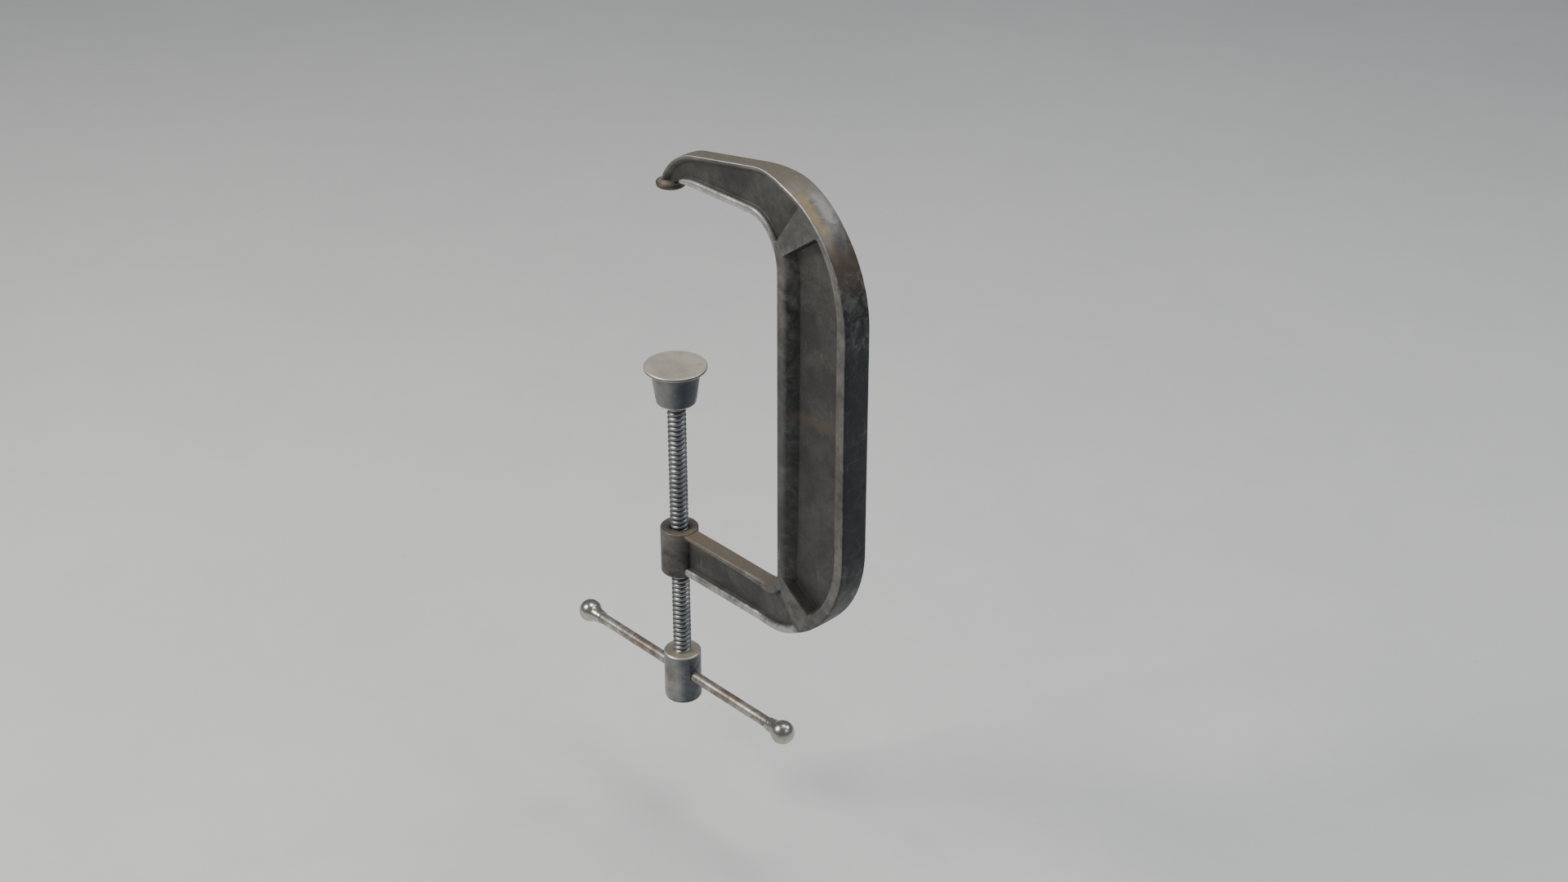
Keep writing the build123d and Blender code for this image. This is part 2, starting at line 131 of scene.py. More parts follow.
def welded(points: np.ndarray, faces: np.ndarray, values: dict) -> Skin:
    """Joins points that lie in one place and drops the faces that vanish, then turns the faces outwards.

    Args:
        points: the points in mm, (n, 3).
        faces: quads as point numbers, (m, 4).
        values: named values at the points.

    Returns:
        The closed skin.
    """
    keys = np.round(points / WELD).astype(np.int64)
    _, first, place = np.unique(keys, axis=0, return_index=True, return_inverse=True)
    place = place.reshape(-1)
    quads = place[faces]
    same = quads == np.roll(quads, -1, axis=1)
    whole = quads[~same.any(axis=1)]
    kept = whole[(whole[:, 0] != whole[:, 2]) & (whole[:, 1] != whole[:, 3])].tolist()
    once = same.sum(axis=1) == 1
    triangles = quads[once][~same[once]].reshape(-1, 3)
    proper = (triangles != np.roll(triangles, -1, axis=1)).all(axis=1)
    kept.extend(triangles[proper].tolist())
    points = points[first]
    if volume(points, kept) < 0.0:
        kept = [face[::-1] for face in kept]
    return Skin(points, kept, {name: value[first] for name, value in values.items()})


def grid_faces(rows: int, columns: int) -> np.ndarray:
    """The quads of a grid of rows by columns points, numbered along the rows.

    Args:
        rows: rows of points.
        columns: points in a row.

    Returns:
        The quads, (n, 4).
    """
    number = np.arange(rows * columns).reshape(rows, columns)
    corners = (number[:-1, :-1], number[1:, :-1], number[1:, 1:], number[:-1, 1:])
    return np.stack(corners, axis=-1).reshape(-1, 4)


def sheet_skin(grid: np.ndarray, values: dict | None = None) -> Skin:
    """A skin from a grid of points, (rows, columns, 3), whose seams and poles meet and are welded.

    Args:
        grid: the points.
        values: named values at the points, (rows, columns).

    Returns:
        The closed skin.
    """
    rows, columns = grid.shape[:2]
    flat = {name: value.reshape(-1) for name, value in (values or {}).items()}
    return welded(grid.reshape(-1, 3), grid_faces(rows, columns), flat)


def rounded(corners: list, steps: int = 7, edge: float = 0.35) -> tuple:
    """A profile with its corners rounded: each corner becomes an arc tangent to both sides.

    Args:
        corners: (distance from the axis, height, radius) in order along the profile.
        steps: points on each arc.
        edge: distance of the extra points that keep the flats flat, beside each arc.

    Returns:
        The profile's points (n, 2) and how worn each is (1 on an outside corner's arc).
    """
    path = np.array([corner[:2] for corner in corners], float)
    points, worn = [path[:1]], [np.zeros(1)]
    for k in range(1, len(corners) - 1):
        radius = corners[k][2]
        to_last, to_next = path[k - 1] - path[k], path[k + 1] - path[k]
        before, after = unit(to_last), unit(to_next)
        half = math.acos(float(np.clip(before @ after, -1.0, 1.0))) / 2.0
        if radius <= 0.0 or half > math.pi / 2 - 1e-3:
            points.append(path[k : k + 1])
            worn.append(np.zeros(1))
            continue
        reach = radius / math.tan(half)
        centre = path[k] + unit(before + after) * radius / math.sin(half)
        sweep = np.linspace(-1.0, 1.0, steps) * (math.pi / 2 - half)
        out = unit(path[k] - centre)
        side = np.array([-out[1], out[0]])
        side = side if side @ after > 0.0 else -side
        arc = centre + radius * (np.cos(sweep)[:, None] * out + np.sin(sweep)[:, None] * side)
        convex = 1.0 if before[0] * after[1] - before[1] * after[0] > 0.0 else -1.0
        room_before = min(edge, 0.3 * max(np.linalg.norm(to_last) - reach, 0.0))
        room_after = min(edge, 0.3 * max(np.linalg.norm(to_next) - reach, 0.0))
        lead = path[k] + before * (reach + room_before)
        tail = path[k] + after * (reach + room_after)
        points.extend([lead[None], arc, tail[None]])
        bulge = convex * np.cos(sweep / max(abs(sweep[0]), 1e-6) * math.pi / 2.6)
        worn.extend([np.zeros(1), bulge, np.zeros(1)])
    points.append(path[-1:])
    worn.append(np.zeros(1))
    return np.vstack(points), np.concatenate(worn)


def filled(profile: np.ndarray, worn: np.ndarray, longest: float) -> tuple:
    """Adds points along a profile's long flats, so that no step is longer than a given length.

    Args:
        profile: the points, (n, 2).
        worn: how worn each is.
        longest: the longest step, in mm.

    Returns:
        The longer profile and its wear.
    """
    steps = np.linalg.norm(np.diff(profile, axis=0), axis=1)
    pieces = np.maximum(1, np.ceil(steps / longest)).astype(int)
    at = np.concatenate([k + np.arange(n) / n for k, n in enumerate(pieces)] + [[len(steps)]])
    number = np.arange(len(profile))
    columns = [np.interp(at, number, profile[:, k]) for k in range(2)]
    return np.stack(columns, axis=1), np.interp(at, number, worn)


def turned(
    profile: np.ndarray, worn: np.ndarray, segments: int = 96, turn: Turn = Turn.Z, at: float = 0.0
) -> Skin:
    """A turned surface: the profile carried round an axis, at radius r and angle a, is (r cos a, r sin a, h).

    Args:
        profile: (radius, height along the axis) points, with both ends on the axis or meeting each other.
        worn: how worn each point is, from -1 in a corner to 1 on an edge. The finish darkens the corners with
            soiling and painted shade and brightens the edges as worn metal with painted highlight.
        segments: steps round the axis.
        turn: round Z, or round a line along X.
        at: height of the X line, when turned round X.

    Returns:
        The closed skin, with the value "worn".
    """
    angle = np.linspace(0.0, 2.0 * math.pi, segments + 1)
    radius, height = profile[:, 0], profile[:, 1]
    across, up = np.outer(np.cos(angle), radius), np.outer(np.sin(angle), radius)
    along = np.broadcast_to(height, across.shape)
    if turn is Turn.Z:
        grid = np.stack([across, up, along], axis=-1)
    else:
        grid = np.stack([along, across, up + at], axis=-1)
    grid[-1] = grid[0]
    return sheet_skin(grid, {"worn": np.broadcast_to(worn, across.shape).copy()})


def make_piece(node: str, body: str, slot: str, skin: Skin, looks: dict, crease: float = 32.0) -> None:
    """Turns a skin into a mesh object that stands for one CAD node, and ties it to its body.

    Args:
        node: the CAD node; the piece is named after it.
        body: the body that it rides on.
        slot: the record's material slot.
        skin: the surface, in mm.
        looks: the finished materials, by slot.
        crease: edges sharper than this many degrees stay crisp.
    """
    name = node + "_skin"
    mesh = bpy.data.meshes.new(name)
    mesh.from_pydata((skin.points * MM).tolist(), [], skin.faces)
    for label, value in skin.values.items():
        layer = mesh.attributes.new(label, "FLOAT", "POINT")
        layer.data.foreach_set("value", value.astype(np.float32))
    mesh.update()
    mesh.shade_smooth()
    mesh.set_sharp_from_angle(angle=math.radians(crease))
    mesh.materials.append(looks[slot])
    made = bpy.data.objects.new(name, mesh)
    bpy.context.scene.collection.objects.link(made)
    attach(made, body)
    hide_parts(node)
    log.info("%s: %d points, %d faces", name, len(mesh.vertices), len(mesh.polygons))


def low_high(node: str) -> tuple:
    """The lowest and highest corner of a CAD node, in mm, as arrays."""
    low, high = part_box(node)
    return np.array(low) / MM, np.array(high) / MM


# ---------------------------------------------------------------- frame casting
@dataclass
class Casting:
    """The C-shaped frame: an I-section carried round the C, a boss for the screw and a foot for the anvil.

    Lengths are in mm and angles in degrees. X runs from the screw to the spine, Z up from the anvil's face.
    """

    spine_depth: float = 67.5
    underside: float = 8.3
    upper_inner_radius: float = 32.0
    lower_inner_radius: float = 20.0
    upper_bend_radius: float = 103.5
    upper_bend_drop: float = 50.0
    crown_radius: float = 72.0
    crown_slope: float = 10.4
    nose: tuple = (30.3, 32.7)
    nose_radius: float = 44.8
    nose_lip: float = 4.2
    lower_arm_depth: float = 35.8
    lower_arm_step: float = 1.0
    lower_bend_radius: float = 92.0
    arm_half: float = 6.7
    spine_half: float = 11.5
    widening: tuple = (90.0, 131.0)
    web_half: float = 3.0
    arm_depth: float = 3.7
    boss_radius: float = 14.45
    boss_height: float = 38.3
    boss_bore: float = 10.0
    ledge_bore: float = 7.85
    boss_wear: float = 0.45
    ledge: float = 4.0
    arm_end: float = 11.2
    back_swell: float = 0.25
    row_step: float = 1.5
    bead_start: float = 14.0
    bead_full: float = 32.0
    bead_end_round: float = 4.5
    bead_highlight: float = 0.74
    spine_fade: float = 0.62
    gusset: tuple = (((119.0, 1.0), (138.9, 28.8)), ((119.6, -11.8), (154.1, 13.7)))
    rib: tuple = (((120.4, -258.6), (153.5, -283.3)), ((119.5, -268.0), (137.0, -295.0)))
    foot_base: float = 9.2
    foot_height: float = 2.4
    tip_fillet: float = 7.85

    def __post_init__(self) -> None:
        """Works out the places that the outline hangs on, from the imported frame."""
        low, high = low_high("frame_casting")
        anvil_low, _ = low_high("anvil_insert")
        self.outer_x = float(high[0])
        self.throat = self.outer_x - self.spine_depth
        self.boss_bottom = float(low[2])
        self.boss_top = self.boss_bottom + self.boss_height
        self.arm_top = self.boss_top - self.lower_arm_step
        self.arm_bottom = self.arm_top - self.lower_arm_depth
        self.foot_z = float(anvil_low[2]) + 3.4
        self.outer = self.outer_line()
        self.inner = self.inner_line()

    @staticmethod
    def arc(centre: tuple, radius: float, start: float, end: float, step: float = 0.3) -> np.ndarray:
        """Points of a circle's arc from one angle to another, in degrees from +X.

        Args:
            centre: the circle's centre.
            radius: its radius.
            start: the first angle.
            end: the last angle.
            step: the longest step.

        Returns:
            The points, (n, 2).
        """
        count = max(3, int(abs(math.radians(end - start)) * radius / step))
        angle = np.radians(np.linspace(start, end, count))
        return np.stack([centre[0] + radius * np.cos(angle), centre[1] + radius * np.sin(angle)], axis=1)

    @staticmethod
    def line(points: list, step: float = 0.3) -> np.ndarray:
        """Evenly spaced points along a chain of straight lines.

        Args:
            points: the chain's corners.
            step: the longest step.

        Returns:
            The points, (n, 2).
        """
        path = np.array(points, float)
        reach = np.concatenate([[0.0], np.cumsum(np.linalg.norm(np.diff(path, axis=0), axis=1))])
        at = np.linspace(0.0, reach[-1], max(2, int(reach[-1] / step)))
        return np.stack([np.interp(at, reach, path[:, k]) for k in range(2)], axis=1)

    def outer_line(self) -> np.ndarray:
        """The back of the C: nose arc, sloping back, crown arc, big bend, spine, lower bend and underside.

        The crown arc joins the sloping back to the bend. Its centre lies on a radius of the bend, and its
        distance from the back is its own radius.

        Returns:
            The points, (n, 2).
        """
        normal = 90.0 + self.crown_slope
        away = np.array([math.cos(math.radians(normal)), math.sin(math.radians(normal))])
        nose = np.array(self.nose)
        nose_centre = nose - away * self.nose_radius
        lip = 180.0 - math.degrees(math.asin((self.nose_lip - nose_centre[1]) / self.nose_radius))
        bend = np.array([self.outer_x - self.upper_bend_radius, -self.upper_bend_drop])
        step = self.upper_bend_radius - self.crown_radius
        swing = math.degrees(math.acos((away @ nose - self.crown_radius - away @ bend) / step))
        start = normal - swing
        crown = bend + step * np.array([math.cos(math.radians(start)), math.sin(math.radians(start))])
        low_bend = (self.outer_x - self.lower_bend_radius, self.arm_bottom + self.lower_bend_radius)
        crown_arc = self.arc(crown, self.crown_radius, normal, start)
        bend_arc = self.arc(bend, self.upper_bend_radius, start, 0.0)
        low_arc = self.arc(low_bend, self.lower_bend_radius, 0.0, -90.0)
        pieces = [
            self.arc(nose_centre, self.nose_radius, lip, normal),
            self.line([self.nose, crown_arc[0]])[1:-1],
            crown_arc,
            bend_arc[1:],
            self.line([bend_arc[-1], low_arc[0]])[1:-1],
            low_arc,
            self.line([low_arc[-1], (self.arm_end, self.arm_bottom)])[1:],
        ]
        return np.vstack(pieces)

    def inner_line(self) -> np.ndarray:
        """The jaw's side of the C: underside of the upper arm, corner, spine, corner, top of the lower arm.

        Returns:
            The points, (n, 2).
        """
        up = (self.throat - self.upper_inner_radius, self.underside - self.upper_inner_radius)
        low = (self.throat - self.lower_inner_radius, self.arm_top + self.lower_inner_radius)
        up_arc = self.arc(up, self.upper_inner_radius, 90.0, 0.0)
        low_arc = self.arc(low, self.lower_inner_radius, 0.0, -90.0)
        tip = (self.bead_start, self.underside - self.tip_fillet)
        pieces = [
            self.arc(tip, self.tip_fillet, 153.0, 90.0),
            self.line([(self.bead_start, self.underside), up_arc[0]])[1:],
            up_arc[1:],
            self.line([up_arc[-1], low_arc[0]])[1:-1],
            low_arc,
            self.line([low_arc[-1], (self.arm_end, self.arm_top)])[1:],
        ]
        return np.vstack(pieces)

    @staticmethod
    def reach_of(path: np.ndarray) -> np.ndarray:
        """The length along a path at each of its points."""
        return np.concatenate([[0.0], np.cumsum(np.linalg.norm(np.diff(path, axis=0), axis=1))])

    @classmethod
    def nearest(cls, path: np.ndarray, point: tuple) -> float:
        """The length along a path at its point nearest to a given one."""
        return float(cls.reach_of(path)[np.argmin(np.linalg.norm(path - np.array(point), axis=1))])

    @classmethod
    def crossing(cls, path: np.ndarray, edge: tuple, forward: bool) -> float:
        """The length along a path where an edge, run on past one of its ends, crosses it.

        Args:
            path: the outline's points.
            edge: the two ends of the edge.
            forward: whether the edge is run on past its second end or its first.

        Returns:
            The length along the path.
        """
        start, end = (np.array(p, float) for p in (edge if forward else edge[::-1]))
        along = unit(end - start)
        offset = path - end
        aside = np.abs(offset[:, 0] * along[1] - offset[:, 1] * along[0])
        aside[(offset @ along < -0.5) | (offset @ along > 40.0)] = 1e9
        return float(cls.reach_of(path)[np.argmin(aside)])

    def stations(self) -> np.ndarray:
        """Pairs of lengths along the back and along the jaw's side that face each other, (n, 2).

        Straight lines between them cross the section. They turn with the C, and four of them run along the
        edges of the gusset and the rib.

        Returns:
            The pairs, from the tip of the upper arm to the boss.
        """
        outer, inner = self.outer, self.inner

        def beside(back: tuple, jaw: tuple) -> tuple:
            """The pair of lengths nearest to a point on the back and one on the jaw's side."""
            return self.nearest(outer, back), self.nearest(inner, jaw)

        def along(edge: tuple) -> tuple:
            """The pair of lengths where an edge, run on both ways, meets the two outlines."""
            return self.crossing(outer, edge, True), self.crossing(inner, edge, False)

        facing = [
            (0.0, 0.0),
            beside((6.0, 21.0), (14.0, 8.3)),
            beside(self.nose, (29.0, 8.3)),
            beside((89.6, 43.8), (86.0, 8.3)),
            *map(along, self.gusset),
            beside((184.5, -50.0), (117.0, -45.0)),
            beside((184.5, -100.0), (117.0, -98.0)),
            beside((184.5, -214.0), (117.0, -222.0)),
            *map(along, self.rib),
            beside((92.5, self.arm_bottom), (92.5, self.arm_top)),
            (self.reach_of(outer)[-1], self.reach_of(inner)[-1]),
        ]
        return np.array(facing)

    @staticmethod
    def drop_profile(
        depth: np.ndarray, top: np.ndarray, floor: np.ndarray, slope: np.ndarray, steps: int
    ) -> tuple:
        """A recess wall's profile: an arc over the edge, a straight sloping wall, and an arc into the floor.

        The two arcs meet the wall at the wall's angle, or each other at a smaller one in a shallow recess.

        Args:
            depth: depth of the recess, for each row.
            top: radius over the edge, for each row.
            floor: radius into the floor, for each row.
            slope: angle of the wall from the flat, in degrees, for each row.
            steps: points on each arc.

        Returns:
            The distance from the flat's edge and the share of the depth, both (rows, 2 * steps).
        """
        both = top + floor
        meet = np.minimum(np.radians(slope), np.arccos(np.clip(1.0 - depth / both, -1.0, 1.0)))
        turn = np.linspace(0.0, 1.0, steps)[None, :] * meet[:, None]
        straight = np.maximum(depth - both * (1.0 - np.cos(meet)), 0.0) / np.tan(np.maximum(meet, 0.05))
        over_x = top[:, None] * np.sin(turn)
        over_y = top[:, None] * (1.0 - np.cos(turn))
        back = turn[:, ::-1]
        width = both * np.sin(meet) + straight
        into_x = width[:, None] - floor[:, None] * np.sin(back)
        into_y = depth[:, None] - floor[:, None] * (1.0 - np.cos(back))
        distance = np.concatenate([over_x, into_x], axis=1)
        share = np.concatenate([over_y, into_y], axis=1) / depth[:, None]
        return distance, share

    def half_width(self, x: np.ndarray) -> np.ndarray:
        """Half the width across the frame: the arms' up to where they widen, then smoothly the spine's."""
        start, end = self.widening
        return self.arm_half + (self.spine_half - self.arm_half) * smooth((x - start) / (end - start))

    def row_places(self) -> tuple:
        """Where the rows cross the C. Rows are closer where the gusset and the rib drop to the web.

        Returns:
            Each row's place, counted in stations, how open the recess is there, and the stations.
        """
        facing = self.stations()
        middle = np.abs(np.diff(facing, axis=0)).max(axis=1)
        counts = [max(3, int(length / self.row_step)) for length in middle]
        rows = [np.linspace(k, k + 1, count + 1)[:-1] for k, count in enumerate(counts)]
        places = np.concatenate(rows + [np.array([len(facing) - 1.0])])
        opened = np.ones_like(places)
        deep = self.spine_half - self.web_half
        crisp, bevelled = (deep, 0.35, 0.5, 80.0), (deep, 1.8, 0.8, 78.0)
        soft = (self.arm_depth, 0.9, 1.4, 60.0)
        extra, extra_open = [], []
        for station, way, sizes in ((4, -1.0, soft), (5, 1.0, crisp), (9, -1.0, bevelled), (10, 1.0, soft)):
            wall, share = (found[0] for found in self.drop_profile(*np.array(sizes)[:, None], 6))
            reach = 0.8 * middle[station - 1 if way < 0.0 else station]
            extra.append(station + way * wall / reach)
            extra_open.append(share)
            beyond = way * (places - station)
            keep = (beyond <= 0.0) | (beyond >= wall[-1] / reach + 0.004)
            places, opened = places[keep], opened[keep]
        opened[((places >= 4.0) & (places <= 5.0)) | ((places >= 9.0) & (places <= 10.0))] = 0.0
        places, opened = np.concatenate([places, *extra]), np.concatenate([opened, *extra_open])
        order = np.argsort(places, kind="stable")
        places, opened = places[order], opened[order]
        keep = np.concatenate([[True], np.diff(places) > 1e-6])
        return places[keep], opened[keep], facing

    def section_sizes(self, x: np.ndarray, place: np.ndarray) -> dict:
        """Sizes of the section at each row: widths of the flats beside the recess, and shapes of its walls.

        Args:
            x: where the row meets the jaw's side of the C, along X.
            place: the row's station number.

        Returns:
            The named sizes, in mm.
        """
        short = (self.bead_full - x) / (self.bead_full - self.bead_start)
        bead = np.clip(1.0 - short**2, 0.0, 1.0) ** 0.75
        bead = np.where((x > self.bead_full) | (place > 2.5), 1.0, np.where(x < self.bead_start, 0.0, bead))
        past_gusset, past_rib = smooth((place - 4.1) / 0.8), smooth((place - 9.1) / 0.8)
        parts = 1.0 - past_gusset, past_gusset * (1.0 - past_rib), past_rib
        lower, down_spine, to_boss = parts[2], smooth((place - 7.0) / 1.8), smooth((place - 10.2) / 1.6)

        def blend(*sizes: object) -> np.ndarray:
            """The sizes of the upper arm, the spine and the lower arm, each where it holds."""
            return sum(part * size for part, size in zip(parts, sizes))

        inner = blend(np.maximum(3.2 * bead, 0.4), 6.8 - 3.4 * down_spine, 5.6 - 3.8 * to_boss)
        outer = 1.7 + (smooth(place - 3.5) + 4.6 * smooth((place - 4.6) / 1.6)) - 3.2 * smooth(place - 9.3)
        over_inner = blend(1.0 + 2.0 * bead, 5.0 + 2.0 * down_spine, 2.4)
        return {
            "inner_flat": inner,
            "outer_flat": outer,
            "inner_edge": np.minimum(blend(2.2, 2.0, 2.6), 0.65 * inner),
            "outer_edge": np.minimum((1.0 - lower) * 1.3 + lower * 3.0, (0.45 + 0.22 * lower) * outer),
            "inner_wall": (over_inner, blend(0.6, 1.0, 0.9), blend(76.0, 50.0, 70.0)),
            "outer_wall": (blend(1.0, 1.2, 3.0), blend(2.5, 2.2, 0.6), blend(46.0, 74.0, 76.0)),
            "bead": bead,
        }

    @staticmethod
    def distance(points: np.ndarray, path: np.ndarray) -> np.ndarray:
        """The least distance from each point to a path, by the two pieces of it beside its nearest point.

        Args:
            points: the points, (n, 2).
            path: the path's points.

        Returns:
            The distances.
        """
        nearest = np.empty(len(points), int)
        for start in range(0, len(points), 4000):
            part = points[start : start + 4000]
            squares = (path**2).sum(1)[None] - 2.0 * part @ path.T
            nearest[start : start + 4000] = squares.argmin(axis=1)
        found = []
        for first in (np.maximum(nearest - 1, 0), np.minimum(nearest, len(path) - 2)):
            start, run = path[first], path[first + 1] - path[first]
            share = ((points - start) * run).sum(1) / (run**2).sum(1)
            foot = start + np.clip(share, 0.0, 1.0)[:, None] * run
            found.append(np.linalg.norm(points - foot, axis=1))
        return np.minimum(*found)

    @staticmethod
    def columns(edge: np.ndarray, flat: np.ndarray, wall: np.ndarray, share: np.ndarray) -> tuple:
        """The columns of one side of the section, from the flange's edge over its flat and down to the web.

        Args:
            edge: radius of the flange's edge, for each row.
            flat: width from the outline to the recess, for each row.
            wall: distances down the recess wall, for each row.
            share: shares of the recess's depth there.

        Returns:
            Distances from the outline, how far the rounding drops, and shares of the recess's depth.
        """
        turn = np.linspace(0.0, 0.5 * math.pi, EDGE_STEPS)
        flat, edge = np.maximum(flat, edge + 0.1)[:, None], edge[:, None]
        corner, shelf = edge * (1.0 - np.cos(turn)), edge + (flat - edge) * np.array([0.12, 0.5, 0.88])
        distance = np.concatenate([corner, shelf, flat + wall], axis=1)
        drops, shares = np.zeros_like(distance), np.zeros_like(distance)
        drops[:, :EDGE_STEPS] = edge * (1.0 - np.sin(turn))
        shares[:, -wall.shape[1] :] = share
        return distance, drops, shares

    def body_skin(self) -> Skin:
        """The I-section carried round the C as a closed grid of rows round the section.

        A row lies on the straight line between its two facing points on the outline. A point at a given
        distance from the outline is found along that line, and stands out sideways by the half width there
        less the drop of the flange's edges and of the recess.

        Returns:
            The closed skin, with the values "worn" and "web".
        """
        places, opened, facing = self.row_places()
        ends = []
        for path, lengths in ((self.outer, facing[:, 0]), (self.inner, facing[:, 1])):
            at, reach = np.interp(places, np.arange(len(facing)), lengths), self.reach_of(path)
            ends.append(np.stack([np.interp(at, reach, path[:, k]) for k in range(2)], axis=1))
        back, front = ends
        rows, size = len(places), self.section_sizes(front[:, 0], places)
        samples = np.linspace(0.0, 1.0, 161)
        flat = (back[:, None] + samples[None, :, None] * (front - back)[:, None]).reshape(-1, 2)
        from_back = self.distance(flat, self.outer[::2]).reshape(rows, -1)
        from_back = np.maximum.accumulate(from_back, axis=1)
        from_front = self.distance(flat, self.inner[::2]).reshape(rows, -1)
        from_front = np.maximum.accumulate(from_front[:, ::-1], axis=1)
        spine = (places > 4.5) & (places < 9.5)
        depth = np.where(spine, self.half_width(((back + front) / 2.0)[:, 0]) - self.web_half, self.arm_depth)
        room = np.linalg.norm(front - back, axis=1) - size["outer_flat"] - size["inner_flat"]
        opening = (opened * smooth((room - 0.6) / 4.0))[:, None]
        cut_back = smooth((self.bead_start + self.bead_end_round - front[:, 0]) / self.bead_end_round)
        cut_back = np.where(places < 2.5, 1.0 - np.sqrt(1.0 - cut_back**2), 0.0)[:, None]

        out_wall, out_share = self.drop_profile(depth, *size["outer_wall"], 6)
        in_wall, in_share = self.drop_profile(depth, *size["inner_wall"], 8)
        in_wall = in_wall * (0.35 + 0.65 * size["bead"])[:, None]
        squeeze = np.minimum(1.0, np.maximum(room, 1.0) * 0.96 / (out_wall[:, -1] + in_wall[:, -1]))[:, None]
        out_wall, in_wall = out_wall * squeeze, in_wall * squeeze
        out_d, out_fall, out_s = self.columns(size["outer_edge"], size["outer_flat"], out_wall, out_share)
        in_d, in_fall, in_s = self.columns(size["inner_edge"], size["inner_flat"], in_wall, in_share)
        in_s = in_s + (1.0 - in_s) * cut_back
        out_q = np.stack([np.interp(d, f, samples) for d, f in zip(out_d, from_back)])
        in_q = 1.0 - np.stack([np.interp(d, f, samples) for d, f in zip(in_d, from_front)])
        mid_q = out_q[:, -1:] + (in_q[:, -1:] - out_q[:, -1:]) * np.linspace(0.0, 1.0, 9)[None, 1:-1]
        q = np.concatenate([out_q, mid_q, in_q[:, ::-1]], axis=1)
        fall = np.concatenate([out_fall, np.zeros_like(mid_q), in_fall[:, ::-1]], axis=1)
        share = np.concatenate([out_s, np.ones_like(mid_q), in_s[:, ::-1]], axis=1)

        place = back[:, None] + q[..., None] * (front - back)[:, None]
        wide = self.half_width(place[..., 0])
        side = wide - fall - share * opening * np.where(spine[:, None], wide - self.web_half, self.arm_depth)
        face = np.linspace(0.0, 1.0, FACE_STEPS + 1)[:-1]
        swell = self.back_swell * (1.0 - face**2)[None, :, None] * unit(back - front)[:, None]
        jaw = np.repeat(front[:, None], FACE_STEPS, axis=1)
        line = np.concatenate([back[:, None] + swell, place, jaw], axis=1)
        out = np.concatenate([side[:, :1] * face, side, side[:, -1:] * face[::-1]], axis=1)

        beside = ((0, 0), (FACE_STEPS, FACE_STEPS))
        walls, deep = np.pad(share, beside), np.pad(share * opening, beside)
        counts = [FACE_STEPS + out_q.shape[1], mid_q.shape[1], in_q.shape[1] + FACE_STEPS]
        marks = np.pad(self.edge_marks(out_q.shape[1], mid_q.shape[1], in_q.shape[1], rows), beside)
        # The bright flange-edge marks, worn metal with painted highlight, fade down the spine.
        fade = 1.0 - self.spine_fade * smooth((places - 4.6) / 1.6)[:, None]
        marks[:, : counts[0]] *= np.where(marks[:, : counts[0]] > 0.0, fade, 1.0)
        # Painted highlight: the beads along the arms are marked bright.
        low_bead, top_bead = smooth((places - 9.6) / 0.5), smooth((4.55 - places) / 0.9)
        beads = np.repeat(np.stack([low_bead, 0.0 * low_bead, top_bead], axis=1), counts, axis=1)
        marks = np.maximum(marks, self.bead_highlight * beads * (1.0 - walls))
        # Painted shadow: the steep walls under the gusset and the rib are marked -1, so they come out dark.
        below = (np.where(places < 7.0, 1.0, 0.8) * ((opened > 0.02) & (opened < 0.999) & spine))[:, None]
        marks = marks * (1.0 - below * walls) - below * walls

        def closed(near: np.ndarray, far: np.ndarray) -> np.ndarray:
            """The near side, the far side the other way round, and the first column again."""
            return np.concatenate([near, far[:, ::-1][:, 1:-1], near[:, :1]], axis=1)

        near = np.stack([line[..., 0], -out, line[..., 1]], axis=-1)
        grid = closed(near, near * np.array([1.0, -1.0, 1.0]))
        centres = (end.mean(axis=1, keepdims=True) for end in (grid[:1], grid[-1:]))
        tips = [np.repeat(centre, grid.shape[1], axis=1) for centre in centres]
        # The value "web" is how far down into the recess each point lies; the finish darkens by it as painted
        # shade.
        values = {"worn": closed(marks, marks), "web": closed(deep, deep)}
        values = {name: np.pad(value, ((1, 1), (0, 0))) for name, value in values.items()}
        return sheet_skin(np.concatenate([tips[0], grid, tips[1]]), values)

    @staticmethod
    def edge_marks(outer: int, middle: int, inner: int, rows: int) -> np.ndarray:
        """How exposed each column of the side is: 1 on the flanges' edges, brightened as worn metal with
        painted highlight, -1 in the corners of the recess, darkened with soiling and painted shade.

        Args:
            outer: columns from the back to the web.
            middle: columns on the web.
            inner: columns from the web to the jaw's side.
            rows: rows of the grid.

        Returns:
            The marks, (rows, columns).
        """
        start = np.concatenate([np.sin(np.linspace(0.0, math.pi, EDGE_STEPS)), [0.3, 0.0, 0.05]])

        def wall(count: int) -> np.ndarray:
            """The marks down a recess wall: an edge, then a corner."""
            over = 0.22 * np.sin(np.linspace(0.5, math.pi, count // 2))
            return np.concatenate([over, -0.9 * np.sin(np.linspace(0.0, math.pi * 0.8, count // 2))])

        down, up = wall(outer - len(start)), wall(inner - len(start))
        side = np.concatenate([start, down, np.zeros(middle), up[::-1], 0.4 * start[::-1]])
        return np.repeat(side[None], rows, axis=0)

    def boss_skin(self) -> Skin:
        """The screw's boss: a bored cylinder with a ledge under the bush, turned round Z.

        Returns:
            The closed skin.
        """
        top, bottom, bore = self.boss_top, self.boss_bottom, self.boss_bore
        step = bottom + self.ledge
        corners = [
            (bore, step + 8.0, 0.0),
            (bore, top, 0.06),
            (self.boss_radius, top, 1.1),
            (self.boss_radius, bottom, 1.3),
            (self.ledge_bore, bottom, 0.5),
            (self.ledge_bore, step, 0.0),
            (bore, step, 0.0),
            (bore, step + 8.0, 0.0),
        ]
        profile, worn = rounded(corners)
        return turned(*filled(profile, self.boss_wear * worn, LONGEST), 144)

